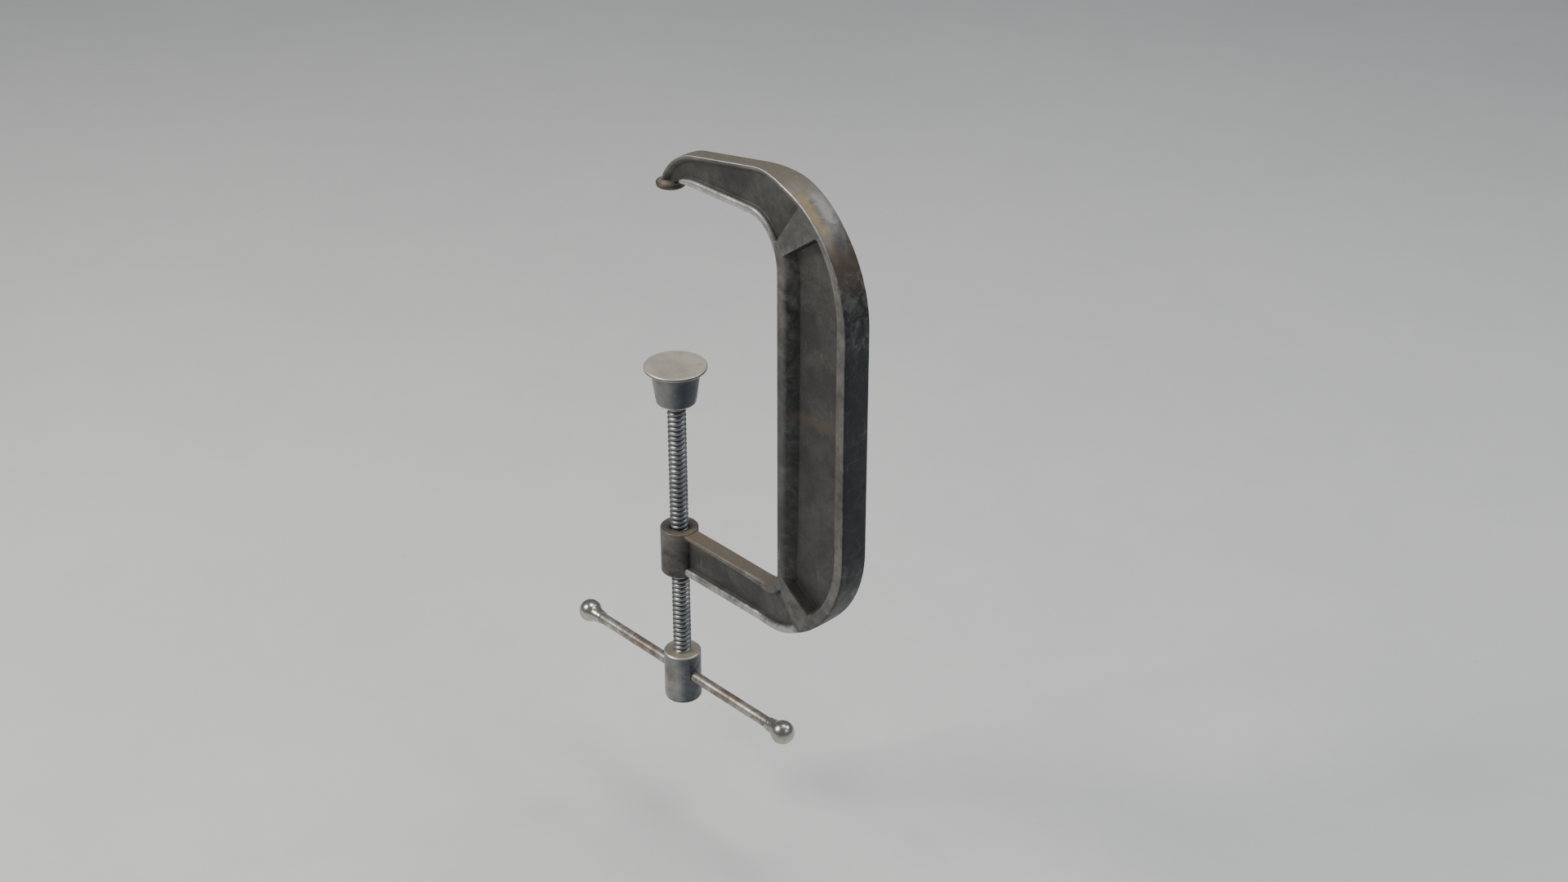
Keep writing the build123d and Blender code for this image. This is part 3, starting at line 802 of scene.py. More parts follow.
    def foot_skin(self) -> Skin:
        """The foot that carries the anvil: a short cone, turned round Z, that runs up into the tip.

        Returns:
            The closed skin.
        """
        base, bottom, top = self.foot_base, self.foot_z - 0.3, self.foot_z + self.foot_height
        corners = [(0.0, bottom, 0.0), (base + 0.3, bottom, 0.0), (base - 3.2, top, 1.5), (0.0, top, 0.0)]
        return turned(*rounded(corners))

    def build(self, looks: dict) -> None:
        """Makes the casting as one piece in place of its CAD node."""
        skin = self.body_skin().joined(self.boss_skin()).joined(self.foot_skin())
        make_piece("frame_casting", "frame", "casting", skin, looks)


# ---------------------------------------------------------------- screw
@dataclass
class Screw:
    """The trapezoidal screw, its ball nose and the hub on its tail."""

    major: float = 7.0
    pitch: float = 4.0
    thread_depth: float = 1.35
    groove_sharpness: float = 1.7
    neck: float = 3.5
    ball: float = 4.9
    into_hub: float = 3.0
    turn_steps: int = 72
    thread_crease: float = 60.0
    hub_chamfer: float = 0.9
    hub_bottom_round: float = 2.6
    hub_side_steps: int = 24
    hub_end_steps: int = 32
    hole_play: float = 0.08
    hole_bevel: float = 0.5

    def __post_init__(self) -> None:
        """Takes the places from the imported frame."""
        _, high = low_high("spindle")
        hub_low, hub_high = low_high("handle_hub")
        pad_low, _ = low_high("swivel_pad")
        bar_low, bar_high = low_high("handle_bar")
        self.ball_z = float(high[2]) - self.ball
        self.hub_top, self.hub_bottom = float(hub_high[2]), float(hub_low[2])
        self.hub_radius = float(hub_high[0])
        self.full_top = float(pad_low[2]) + 2.0
        self.bar_z = float(bar_low[2] + bar_high[2]) / 2.0
        self.bar_radius = float(bar_high[2] - bar_low[2]) / 2.0

    def thread_profile(self) -> tuple:
        """One pitch of the thread as (share of the pitch, share of the depth).

        The crest is broad and round and the groove is narrow: the depth is ((1 - cos 2 pi u) / 2) ^ 1.7.

        Returns:
            The two shares.
        """
        share = np.linspace(0.0, 1.0, 17)[:-1]
        sunk = (0.5 - 0.5 * np.cos(2.0 * math.pi * share)) ** self.groove_sharpness
        return share, sunk

    def spindle_skin(self) -> Skin:
        """The threaded length as a helix grid: at angle a, row j is at height z_j + pitch * a / (2 pi).

        The radius depends only on the row's place in the pitch, so the rows run along the thread. Above the
        top the thread fades into the neck, and the open ends are closed with fans to the axis.

        Returns:
            The closed skin.
        """
        share, sunk = self.thread_profile()
        low = self.hub_top - self.into_hub - self.pitch
        turns = int(math.ceil((self.full_top - low) / self.pitch))
        base = low + self.pitch * (np.arange(turns)[:, None] + share[None]).reshape(-1)
        depth = np.tile(sunk, turns)
        angle = np.linspace(0.0, 2.0 * math.pi, self.turn_steps + 1)
        height = base[None] + self.pitch * angle[:, None] / (2.0 * math.pi)
        radius = np.broadcast_to(self.major - self.thread_depth * depth, height.shape).copy()
        fade = smooth((height - self.full_top + 1.0) / 3.5)
        radius = radius * (1.0 - fade) + np.minimum(radius, self.neck) * fade
        grid = np.stack([radius * np.cos(angle)[:, None], radius * np.sin(angle)[:, None], height], axis=-1)
        # Thread marks: the crests brightened as worn metal with painted highlight, the groove bottoms
        # darkened with soiling and painted shade.
        marks = np.broadcast_to(0.6 - 1.6 * depth**1.3, height.shape)
        return self.capped(sheet_skin(grid, {"worn": marks}))

    @staticmethod
    def capped(skin: Skin) -> Skin:
        """Closes each open rim with a fan to a point on the axis at the rim's mean height.

        Args:
            skin: a skin with open rims round Z.

        Returns:
            The closed skin.
        """
        edges = dict.fromkeys(pair for face in skin.faces for pair in zip(face, face[1:] + face[:1]))
        rim = {end: start for start, end in edges if (end, start) not in edges}
        points, faces = skin.points, list(skin.faces)
        worn = skin.values["worn"]
        while rim:
            first = next(iter(rim))
            loop = [first]
            while rim[loop[-1]] != first:
                loop.append(rim[loop[-1]])
            for number in loop:
                rim.pop(number)
            centre = np.array([[0.0, 0.0, points[loop, 2].mean()]])
            points = np.vstack([points, centre])
            worn = np.append(worn, 0.0)
            hub = len(points) - 1
            faces.extend([[a, b, hub] for a, b in zip(loop, loop[1:] + loop[:1])])
        if volume(points, faces) < 0.0:
            faces = [face[::-1] for face in faces]
        return Skin(points, faces, {"worn": worn})

    def nose_skin(self) -> Skin:
        """The plain neck and the ball on its end, turned round Z.

        Returns:
            The closed skin.
        """
        under = -math.sqrt(self.ball**2 - self.neck**2)
        angle = np.linspace(math.asin(under / self.ball), math.pi / 2.0, 18)
        ball = np.stack([self.ball * np.cos(angle), self.ball_z + self.ball * np.sin(angle)], axis=1)
        ball[-1, 0] = 0.0
        neck = np.array([[0.0, self.full_top - 1.0], [self.neck, self.full_top - 1.0]])
        profile = np.vstack([neck, ball])
        return turned(profile, np.zeros(len(profile)), 64)

    def hub_skin(self) -> Skin:
        """The hub: a cylinder with a clear cross hole.

        Each half of the side is a ring of rows from the hole's rim out to the half's border. A point between
        is a blend of the rim's circle and the border's rectangle, both unrolled on the cylinder as (arc, z).

        Returns:
            The closed skin.
        """
        radius, top, bottom = self.hub_radius, self.hub_top, self.hub_bottom
        bevel = self.hub_chamfer
        cap = [(0.0, top, 0.0), (radius - bevel, top, 0.35), (radius, top - bevel, 0.35)]
        foot = [(0.0, bottom, 0.0), (radius, bottom, self.hub_bottom_round)]
        cap = rounded([*cap, (radius, top - 4.0, 0.0)], 5)
        foot = rounded([*foot, (radius, bottom + 6.0, 0.0)], 9)
        mouth, worn = self.hub_side(foot[0][-1, 1], cap[0][-1, 1])
        sheets = [(mouth, worn, 1), (mouth * np.array([-1.0, -1.0, 1.0]), worn, 1)]
        angle = np.linspace(-math.pi / 2.0, 1.5 * math.pi, 2 * self.hub_end_steps + 1)
        for (profile, marks), way in ((cap, 1), (foot, -1)):
            across, up = np.outer(np.cos(angle), profile[:, 0]), np.outer(np.sin(angle), profile[:, 0])
            ring = np.stack([across, up, np.broadcast_to(profile[:, 1], across.shape)], axis=-1)
            sheets.append((ring, np.broadcast_to(marks, across.shape), way))
        start, faces = 0, []
        for grid, _, way in sheets:
            faces.append(grid_faces(*grid.shape[:2])[:, ::way] + start)
            start += grid.shape[0] * grid.shape[1]
        points = np.vstack([grid.reshape(-1, 3) for grid, _, _ in sheets])
        worn = np.concatenate([marks.reshape(-1) for _, marks, _ in sheets])
        return welded(points, np.vstack(faces), {"worn": worn})

    def hub_side(self, z_low: float, z_high: float) -> tuple:
        """One half of the hub's side, with the rim and the tunnel of the cross hole.

        Args:
            z_low: height of the half's lower border.
            z_high: height of its upper border.

        Returns:
            The grid of points and how worn each is.
        """
        radius, hole, bevel = self.hub_radius, self.bar_radius + self.hole_play, self.hole_bevel
        half_arc, per_side, per_end = radius * math.pi / 2.0, self.hub_side_steps, self.hub_end_steps
        right = np.linspace(z_low, z_high, per_side + 1)[:-1]
        over = np.linspace(half_arc, -half_arc, per_end + 1)[:-1]
        sides = (
            (np.full(per_side, half_arc), right),
            (over, np.full(per_end, z_high)),
            (np.full(per_side, -half_arc), right[::-1] + (z_high - z_low) / per_side),
            (-over, np.full(per_end, z_low)),
        )
        border = np.concatenate([np.stack(side, axis=1) for side in sides])
        border = np.vstack([border, border[:1]])
        turn = np.arctan2(border[:, 1] - self.bar_z, border[:, 0])
        rim = np.stack([np.cos(turn), np.sin(turn)], axis=1)
        centre = np.array([0.0, self.bar_z])
        rings = [rim * (hole + bevel + extra) + centre for extra in (0.0, 0.15, 0.35, 0.7, 1.4, 2.6)]
        rings += [rings[-1] * (1.0 - share) + border * share for share in np.linspace(0.0, 1.0, 9)[1:]]
        flat = np.stack(rings)
        angle = flat[..., 0] / radius
        side = np.stack([radius * np.cos(angle), radius * np.sin(angle), flat[..., 1]], axis=-1)
        edge = []
        for share in (1.0, 0.7, 0.35):
            reach = hole + bevel - bevel * math.sin(share * math.pi / 2.0)
            y = rim[:, 0] * reach
            x = np.sqrt(radius**2 - y**2) - bevel * (1.0 - math.cos(share * math.pi / 2.0))
            edge.append(np.stack([x, y, rim[:, 1] * reach + self.bar_z], axis=-1))
        tunnel = np.stack([edge[0] * np.array([k, 1.0, 1.0]) for k in (0.0, 0.25, 0.5, 0.8)])
        # The cross hole's tunnel is darkened with soiling and painted shade; its rim is brightened as worn
        # metal.
        worn = np.repeat([-0.4, 0.9, 0.0], [len(tunnel), len(edge), len(side)])
        mouth = np.concatenate([tunnel, np.stack(edge), side], axis=0)
        return mouth, np.broadcast_to(worn[:, None], mouth.shape[:2])

    def build(self, looks: dict) -> None:
        """Makes the spindle and the hub in place of their CAD nodes."""
        spindle = self.spindle_skin().joined(self.nose_skin())
        make_piece("spindle", "screw", "screw_steel", spindle, looks, self.thread_crease)
        make_piece("handle_hub", "screw", "hub_steel", self.hub_skin(), looks)


# ---------------------------------------------------------------- T-bar
@dataclass
class TBar:
    """The sliding bar and its two ball ends."""

    end_round: float = 0.4
    neck: float = 5.2
    neck_flare: float = 6.2
    into_knob: float = 1.0

    def __post_init__(self) -> None:
        """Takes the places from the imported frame."""
        low, high = low_high("handle_bar")
        self.z = float(low[2] + high[2]) / 2.0
        self.radius = float(high[2] - low[2]) / 2.0
        self.knobs = {name: low_high(name) for name in ("handle_knob_inner", "handle_knob_outer")}

    def bar_skin(self) -> Skin:
        """The bar, turned round its own line along X, from one ball's neck to the other's.

        Returns:
            The closed skin.
        """
        left = float(self.knobs["handle_knob_inner"][1][0]) - self.into_knob
        right = float(self.knobs["handle_knob_outer"][0][0]) + self.into_knob
        radius, end = self.radius, self.end_round
        corners = [(0.0, left, 0.0), (radius, left, end), (radius, right, end), (0.0, right, 0.0)]
        return turned(*filled(*rounded(corners), LONGEST), 64, Turn.X, self.z)

    def knob_skin(self, name: str) -> Skin:
        """A ball on a short neck, turned round the bar's line: the neck flares and runs into the ball.

        Args:
            name: the ball's CAD node.

        Returns:
            The closed skin.
        """
        low, high = self.knobs[name]
        side = 1.0 if low[0] > 0.0 else -1.0
        ball = float(high[2] - low[2]) / 2.0
        face, far = (float(low[0]), float(high[0])) if side > 0.0 else (float(high[0]), float(low[0]))
        centre = far - side * ball
        join = math.asin(self.neck_flare / ball)
        angle = np.linspace(join + 0.10, math.pi, 40)
        sphere = np.stack([ball * np.sin(angle), -ball * np.cos(angle)], axis=1)
        sphere[-1, 0] = 0.0
        start = side * (face - centre)
        neck_x = np.linspace(start, sphere[0, 1], 9)
        share = (neck_x - start) / (sphere[0, 1] - start)
        neck_r = self.neck + (sphere[0, 0] - self.neck) * share**2.2
        rim = [[0.0, start], [self.neck - 0.5, start]]
        rim += [[self.neck - 0.12, start + 0.14], [self.neck, start + 0.5]]
        profile = np.vstack([rim, np.stack([neck_r, neck_x], axis=1)[2:-1], sphere])
        profile[:, 1] = centre + side * profile[:, 1]
        worn = np.zeros(len(profile))
        worn[1:4] = 0.8
        return turned(profile, worn, 72, Turn.X, self.z)

    def build(self, looks: dict) -> None:
        """Makes the bar and both balls in place of their CAD nodes."""
        make_piece("handle_bar", "handle", "bar_steel", self.bar_skin(), looks)
        for name in self.knobs:
            make_piece(name, "handle", "knob_steel", self.knob_skin(name), looks)


# ---------------------------------------------------------------- anvil, bush and swivel pad
@dataclass
class JawFaces:
    """The anvil in the tip, the bush in the boss and the swivel pad on the screw."""

    anvil_thickness: float = 3.4
    anvil_round: float = 1.2
    shank: float = 4.0
    bush_bore: float = 7.08
    bush_mouth: float = 7.85
    pad_lip: float = 2.4
    pad_bevel: float = 0.75
    cup_top: float = 17.6
    cup_bottom: float = 14.6
    cup_round: float = 1.8
    mouth: float = 9.2
    socket: float = 5.1
    ball_drop: float = 11.0

    def anvil_skin(self) -> Skin:
        """The anvil: a round-edged disc on a shank, turned round Z.

        Returns:
            The closed skin.
        """
        low, high = low_high("anvil_insert")
        radius, bottom, top = float(high[0]), float(low[2]), float(high[2])
        face = bottom + self.anvil_thickness
        corners = [
            (0.0, bottom, 0.0),
            (radius, bottom, self.anvil_round),
            (radius, face, 0.9),
            (self.shank, face, 0.0),
            (self.shank, top, 0.2),
            (0.0, top, 0.0),
        ]
        return turned(*rounded(corners))

    def bush_skin(self) -> Skin:
        """The bush: a sleeve with a countersunk mouth, turned round Z.

        Returns:
            The closed skin.
        """
        low, high = low_high("thread_bush")
        outside, bottom, top = float(high[0]), float(low[2]), float(high[2])
        sink = self.bush_mouth - self.bush_bore
        corners = [
            (self.bush_bore, bottom + 10.0, 0.0),
            (self.bush_bore, bottom, 0.0),
            (outside, bottom, 0.0),
            (outside, top - 0.03, 0.06),
            (self.bush_mouth, top - 0.03, 0.25),
            (self.bush_bore, top - sink, 0.3),
            (self.bush_bore, bottom + 10.0, 0.0),
        ]
        return turned(*rounded(corners))

    def pad_skin(self) -> Skin:
        """The swivel pad: a disc with a thin lip over a tapered cup, bored from below for the screw's ball.

        Returns:
            The closed skin.
        """
        low, high = low_high("swivel_pad")
        radius, bottom, top = float(high[0]), float(low[2]), float(high[2])
        ball = top - self.ball_drop
        corners = [
            (0.0, top, 0.0),
            (radius - self.pad_bevel, top, 0.3),
            (radius, top - self.pad_bevel, 0.3),
            (radius, top - self.pad_lip, 0.7),
            (self.cup_top + 0.9, top - self.pad_lip - 0.9, 1.6),
            (self.cup_bottom, bottom, self.cup_round),
            (self.mouth, bottom, 0.5),
            (self.mouth, bottom + 3.0, 0.6),
            (self.socket, ball - 8.0, 0.6),
            (self.socket, ball + 2.0, 3.0),
            (0.0, ball + self.socket, 0.0),
        ]
        return turned(*rounded(corners), 144)

    def build(self, looks: dict) -> None:
        """Makes the three pieces in place of their CAD nodes."""
        make_piece("anvil_insert", "frame", "anvil_steel", self.anvil_skin(), looks)
        make_piece("thread_bush", "frame", "bush_steel", self.bush_skin(), looks)
        make_piece("swivel_pad", "pad", "pad_steel", self.pad_skin(), looks)


# ---------------------------------------------------------------- finishes
class Level:
    """A value or colour in a node tree, so that sums of values are written as sums."""

    def __init__(self, wire: "Wire", socket: bpy.types.NodeSocket) -> None:
        """Keeps the socket, and the wire that adds nodes after it."""
        self.wire, self.socket = wire, socket

    def __add__(self, other: object) -> "Level":
        """This value plus another."""
        return self.wire.math("ADD", self, other)

    def __sub__(self, other: object) -> "Level":
        """This value less another."""
        return self.wire.math("SUBTRACT", self, other)

    def __mul__(self, other: object) -> "Level":
        """This value times another."""
        return self.wire.math("MULTIPLY", self, other)


class Wire:
    """Short ways to add nodes to one node tree and to join their sockets."""

    def __init__(self, tree: bpy.types.NodeTree) -> None:
        """Keeps the tree."""
        self.tree = tree

    def join(self, source: object, socket: bpy.types.NodeSocket) -> None:
        """Links a level to an input, or sets the input if the source is a plain value."""
        if isinstance(source, Level):
            self.tree.links.new(source.socket, socket)
        else:
            socket.default_value = source

    def node(self, kind: str, inputs: dict | None = None, **settings: object) -> dict:
        """Adds a node.

        Args:
            kind: the node's type name, after "ShaderNode".
            inputs: what goes to its inputs, by name or number.
            settings: its own properties.

        Returns:
            Its outputs by name.
        """
        made = self.tree.nodes.new("ShaderNode" + kind)
        for name, value in settings.items():
            setattr(made, name, value)
        for name, source in (inputs or {}).items():
            self.join(source, made.inputs[name])
        return {socket.name: Level(self, socket) for socket in made.outputs if socket.enabled}

    def math(self, operation: str, first: object, second: object, clamp: bool = False) -> Level:
        """The result of a sum on two values."""
        return self.node("Math", {0: first, 1: second}, operation=operation, use_clamp=clamp)["Value"]

    def vector(self, operation: str, first: object, second: object) -> Level:
        """The result of a sum on two vectors."""
        made = self.node("VectorMath", {0: first, 1: second}, operation=operation)
        return made["Value" if operation in ("LENGTH", "DOT_PRODUCT") else "Vector"]

    def mix(self, share: object, first: object, second: object, blend: str = "MIX") -> Level:
        """A blend of two colours."""
        return self.node("Mix", {0: share, 6: first, 7: second}, data_type="RGBA", blend_type=blend)["Result"]

    def step(self, value: object, low: float, high: float) -> Level:
        """A smooth step from 0 to 1, as a value goes from low to high."""
        levels = {"Value": value, "From Min": low, "From Max": high}
        return self.node("MapRange", levels, interpolation_type="SMOOTHSTEP")["Result"]

    def noise(
        self, place: object, scale: object, detail: float, rough: float = 0.55, bend: float = 0.0
    ) -> Level:
        """Cloudy noise between 0 and 1."""
        inputs = {"Vector": place, "Scale": scale, "Detail": detail, "Roughness": rough, "Distortion": bend}
        return self.node("TexNoise", inputs)["Fac"]


class Effects:
    """Node groups that several finishes share. Each is made once."""

    def __init__(self) -> None:
        """Makes the groups."""
        group, scaled = self.group, ("Vector", "Scale")
        self.mottle = group("mottle", self.fill_mottle, (*scaled, "Dark", "Light"), ("Color", "Value"))
        self.specks = group("specks", self.fill_specks, scaled, ("Pale", "Pit"))
        self.scratches = group("scratches", self.fill_scratches, scaled, ("Mask",))
        self.wear_and_light = group("wear_and_light", self.fill_wear_and_light, ("Vector", "Worn"), ("Edge", "Grime"))
        self.colour_patch = group("colour_patch", self.fill_colour_patch, ("Vector", "Centre", "Reach"), ("Mask",))
        self.relief = group("relief", self.fill_relief, ("Vector", "Pit", "Scratch"), ("Height",))

    @staticmethod
    def group(name: str, fill: object, inputs: tuple, outputs: tuple) -> bpy.types.NodeTree:
        """Makes one node group.

        Args:
            name: the group's name.
            fill: the function that adds its nodes, from its input levels to its output levels by name.
            inputs: names of the inputs.
            outputs: names of the outputs.

        Returns:
            The group.
        """
        kinds = {"Vector": "Vector", "Centre": "Vector", "Reach": "Vector"}
        kinds |= {"Dark": "Color", "Light": "Color", "Color": "Color"}
        tree = bpy.data.node_groups.new(name, "ShaderNodeTree")
        for names, way in ((inputs, "INPUT"), (outputs, "OUTPUT")):
            for label in names:
                kind = "NodeSocket" + kinds.get(label, "Float")
                tree.interface.new_socket(label, in_out=way, socket_type=kind)
        wire = Wire(tree)
        start, end = (tree.nodes.new("NodeGroup" + way) for way in ("Input", "Output"))
        given = {label: Level(wire, start.outputs[label]) for label in inputs}
        for label, level in fill(wire, given).items():
            wire.join(level, end.inputs[label])
        return tree

    @staticmethod
    def fill_mottle(wire: Wire, given: dict) -> dict:
        """Two colours in soft patches, broken up by finer clouds and a fine grain.

        Args:
            wire: the group's wire.
            given: its inputs by name.

        Returns:
            Its outputs by name.
        """
        place, scale = given["Vector"], given["Scale"]
        patch = wire.noise(place, scale, 3.0, 0.5, 0.7)
        cloud = wire.noise(place, scale * 4.3, 5.0, 0.62, 0.4)
        grain = wire.noise(place, scale * 31.0, 3.0, 0.7)
        value = wire.step(patch * 0.52 + cloud * 0.33 + grain * 0.15, 0.36, 0.66)
        return {"Color": wire.mix(value, given["Dark"], given["Light"]), "Value": value}

    @staticmethod
    def fill_specks(wire: Wire, given: dict) -> dict:
        """Fine pale specks, and small pits in loose groups.

        Args:
            wire: the group's wire.
            given: its inputs by name.

        Returns:
            Its outputs by name.
        """
        place, scale = given["Vector"], given["Scale"]
        fine = wire.noise(place, scale, 2.0, 0.6)
        where = wire.noise(place, scale * 0.07, 2.0, 0.5)
        cell = wire.node("TexVoronoi", {"Vector": place, "Scale": scale * 0.45})["Distance"]
        return {
            "Pale": wire.step(fine, 0.66, 0.74) * wire.step(where, 0.4, 0.62),
            "Pit": wire.step(cell, 0.2, 0.07) * wire.step(where, 0.62, 0.44),
        }

    @staticmethod
    def fill_scratches(wire: Wire, given: dict) -> dict:
        """Thin straight scratches: the peaks of two strongly stretched noises, kept in patches.

        Args:
            wire: the group's wire.
            given: its inputs by name.

        Returns:
            Its outputs by name.
        """
        found = []
        for turn, stretch in (((0.3, 0.5, 0.4), (1.0, 0.03, 1.0)), ((1.1, -0.4, 0.9), (1.0, 1.0, 0.04))):
            turned_to = wire.node("Mapping", {"Vector": given["Vector"], "Rotation": turn, "Scale": stretch})
            found.append(wire.step(wire.noise(turned_to["Vector"], given["Scale"], 1.0, 0.4), 0.67, 0.73))
        patch = wire.step(wire.noise(given["Vector"], given["Scale"] * 0.03, 2.0), 0.5, 0.66)
        return {"Mask": wire.math("MAXIMUM", *found) * patch}

    @staticmethod
    def fill_wear_and_light(wire: Wire, given: dict) -> dict:
        """Worn bright metal with painted highlight on exposed edges, and soiling with painted shade in
        corners, both with a broken border.

        Args:
            wire: the group's wire.
            given: its inputs by name.

        Returns:
            Its outputs by name.
        """
        ragged = wire.noise(given["Vector"], 260.0, 5.0, 0.65) - 0.5
        drift = ragged * 0.7 + (wire.noise(given["Vector"], 45.0, 2.0) - 0.5) * 0.6
        edge, grime_and_shade = given["Worn"] + drift, drift - given["Worn"]
        return {"Edge": wire.step(edge, 0.42, 0.95), "Grime": wire.step(grime_and_shade, 0.1, 0.95)}

    @staticmethod
    def fill_colour_patch(wire: Wire, given: dict) -> dict:
        """A soft blob round a centre, with a cloudy border.

        Args:
            wire: the group's wire.
            given: its inputs by name.

        Returns:
            Its outputs by name.
        """
        offset = wire.vector("SUBTRACT", given["Vector"], given["Centre"])
        away = wire.vector("LENGTH", wire.vector("DIVIDE", offset, given["Reach"]), (0.0, 0.0, 0.0))
        cloud = wire.noise(given["Vector"], 110.0, 6.0, 0.66, 0.9) - 0.5
        return {"Mask": wire.step(away + cloud * 2.1, 1.2, 0.2)}

    @staticmethod
    def fill_relief(wire: Wire, given: dict) -> dict:
        """The height of a cast or worn face: a swell and a fine grain, less the pits and the scratches."""
        swell, grain = wire.noise(given["Vector"], 210.0, 4.0), wire.noise(given["Vector"], 1400.0, 3.0, 0.6)
        return {"Height": swell * 0.7 + grain * 0.22 - given["Pit"] * 0.35 - given["Scratch"] * 0.12}


@dataclass(frozen=True)
class ColourPatch:
    """A patch of another colour, for rust and other real marks and for painted shade and highlights: centre
    and reach in mm, and the way its faces look, or None for all.
    """

    centre: tuple
    reach: tuple
    colour: tuple
    amount: float
    facing: tuple | None = None
    roughness: float = 0.0


@dataclass(frozen=True)
class Finish:
    """A metal finish. Colours are linear RGB; scales are per metre."""

    name: str
    dark: tuple
    light: tuple
    edge: tuple = (0.60, 0.585, 0.55)
    grime_and_shade: tuple = (0.012, 0.012, 0.012)
    # recess: how much the web is darkened, deeper in the recess, as painted shade.
    recess: float = 0.0
    metallic: float = 0.6
    roughness: float = 0.45
    unevenness: float = 0.16
    dirt_dulls: float = 0.25
    wear_shines: float = 0.12
    roughness_range: tuple = (0.12, 0.95)
    patch_scale: float = 38.0
    speck_scale: float = 900.0
    scratch_scale: float = 1300.0
    specks: float = 0.25
    pits: float = 0.35
    scratches: float = 0.25
    edge_wear_and_highlight: float = 0.8
    grime_and_shade_amount: float = 0.75
    relief: float = 0.25
    relief_depth: float = 0.0006
    colour_patches: tuple = ()

    def material(self, effects: Effects) -> bpy.types.Material:
        """Builds the material: mottled metal, the recess darkened as painted shade where the finish asks for
        it, then colour patches, some real, some painted shade and some painted highlight, then specks,
        scratches, soiling with painted shade in corners and worn metal with painted highlight on edges over
        it.

        Args:
            effects: the shared node groups.

        Returns:
            The material.
        """
        made = bpy.data.materials.new(self.name)
        made.use_nodes = True
        wire = Wire(made.node_tree)
        where = wire.node("TexCoord")
        place = where["Object"]
        worn, web = (wire.node("Attribute", attribute_name=name)["Fac"] for name in ("worn", "web"))

        def use(group: bpy.types.NodeTree, **inputs: object) -> dict:
            """Places a shared group at the object's own coordinates."""
            return wire.node("Group", {"Vector": place, **inputs}, node_tree=group)

        def solid(colour: tuple) -> tuple:
            """A colour with full alpha."""
            return (*colour, 1.0)

        base = use(effects.mottle, Scale=self.patch_scale, Dark=solid(self.dark), Light=solid(self.light))
        colour = base["Color"]
        rough = (base["Value"] - 0.5) * -self.unevenness + self.roughness
        # Painted shade: the web is darkened by how deep in the recess it lies.
        if self.recess:
            shade = wire.math("SUBTRACT", 1.0, web * self.recess)
            grey = wire.node("CombineColor", {0: shade, 1: shade, 2: shade})["Color"]
            colour = wire.mix(1.0, colour, grey, "MULTIPLY")
        for colour_patch in self.colour_patches:
            centre, reach = (tuple(v * MM for v in size) for size in (colour_patch.centre, colour_patch.reach))
            mask = use(effects.colour_patch, Centre=centre, Reach=reach)["Mask"]
            # A facing keeps a patch on faces turned one way: this paints shade on right-facing sides and
            # light on tops.
            if colour_patch.facing:
                mask = mask * wire.step(wire.vector("DOT_PRODUCT", where["Normal"], colour_patch.facing), *FACING)
            mask = mask * colour_patch.amount
            colour = wire.mix(mask, colour, solid(colour_patch.colour))
            rough = rough + mask * colour_patch.roughness

        speck = use(effects.specks, Scale=self.speck_scale)
        scratch = use(effects.scratches, Scale=self.scratch_scale)["Mask"]
        wear_and_light = use(effects.wear_and_light, Worn=worn)
        # Soiling with painted shade in corners, worn metal with painted highlight on edges.
        dirt_and_shade, bare_and_highlight = wear_and_light["Grime"] * self.grime_and_shade_amount, wear_and_light["Edge"] * self.edge_wear_and_highlight
        for mask, over in (
            (speck["Pale"] * self.specks, self.edge),
            (speck["Pit"] * self.pits, self.grime_and_shade),
            (scratch * self.scratches, self.edge),
            (dirt_and_shade, self.grime_and_shade),
            (bare_and_highlight, self.edge),
        ):
            colour = wire.mix(mask, colour, solid(over))
        rough = rough + dirt_and_shade * self.dirt_dulls - bare_and_highlight * self.wear_shines
        smoothest, dullest = self.roughness_range
        metal = wire.math("SUBTRACT", self.metallic, dirt_and_shade * (0.5 * self.metallic))
        height = use(effects.relief, Pit=speck["Pit"], Scratch=scratch)["Height"]
        bump = {"Height": height, "Strength": self.relief, "Distance": self.relief_depth}
        shader = made.node_tree.nodes["Principled BSDF"].inputs
        wire.join(colour, shader["Base Color"])
        wire.join(wire.math("MAXIMUM", wire.math("MINIMUM", rough, dullest), smoothest), shader["Roughness"])
        wire.join(wire.math("ADD", metal, bare_and_highlight * (1.0 - self.metallic), clamp=True), shader["Metallic"])
        wire.join(wire.node("Bump", bump)["Normal"], shader["Normal"])
        return made


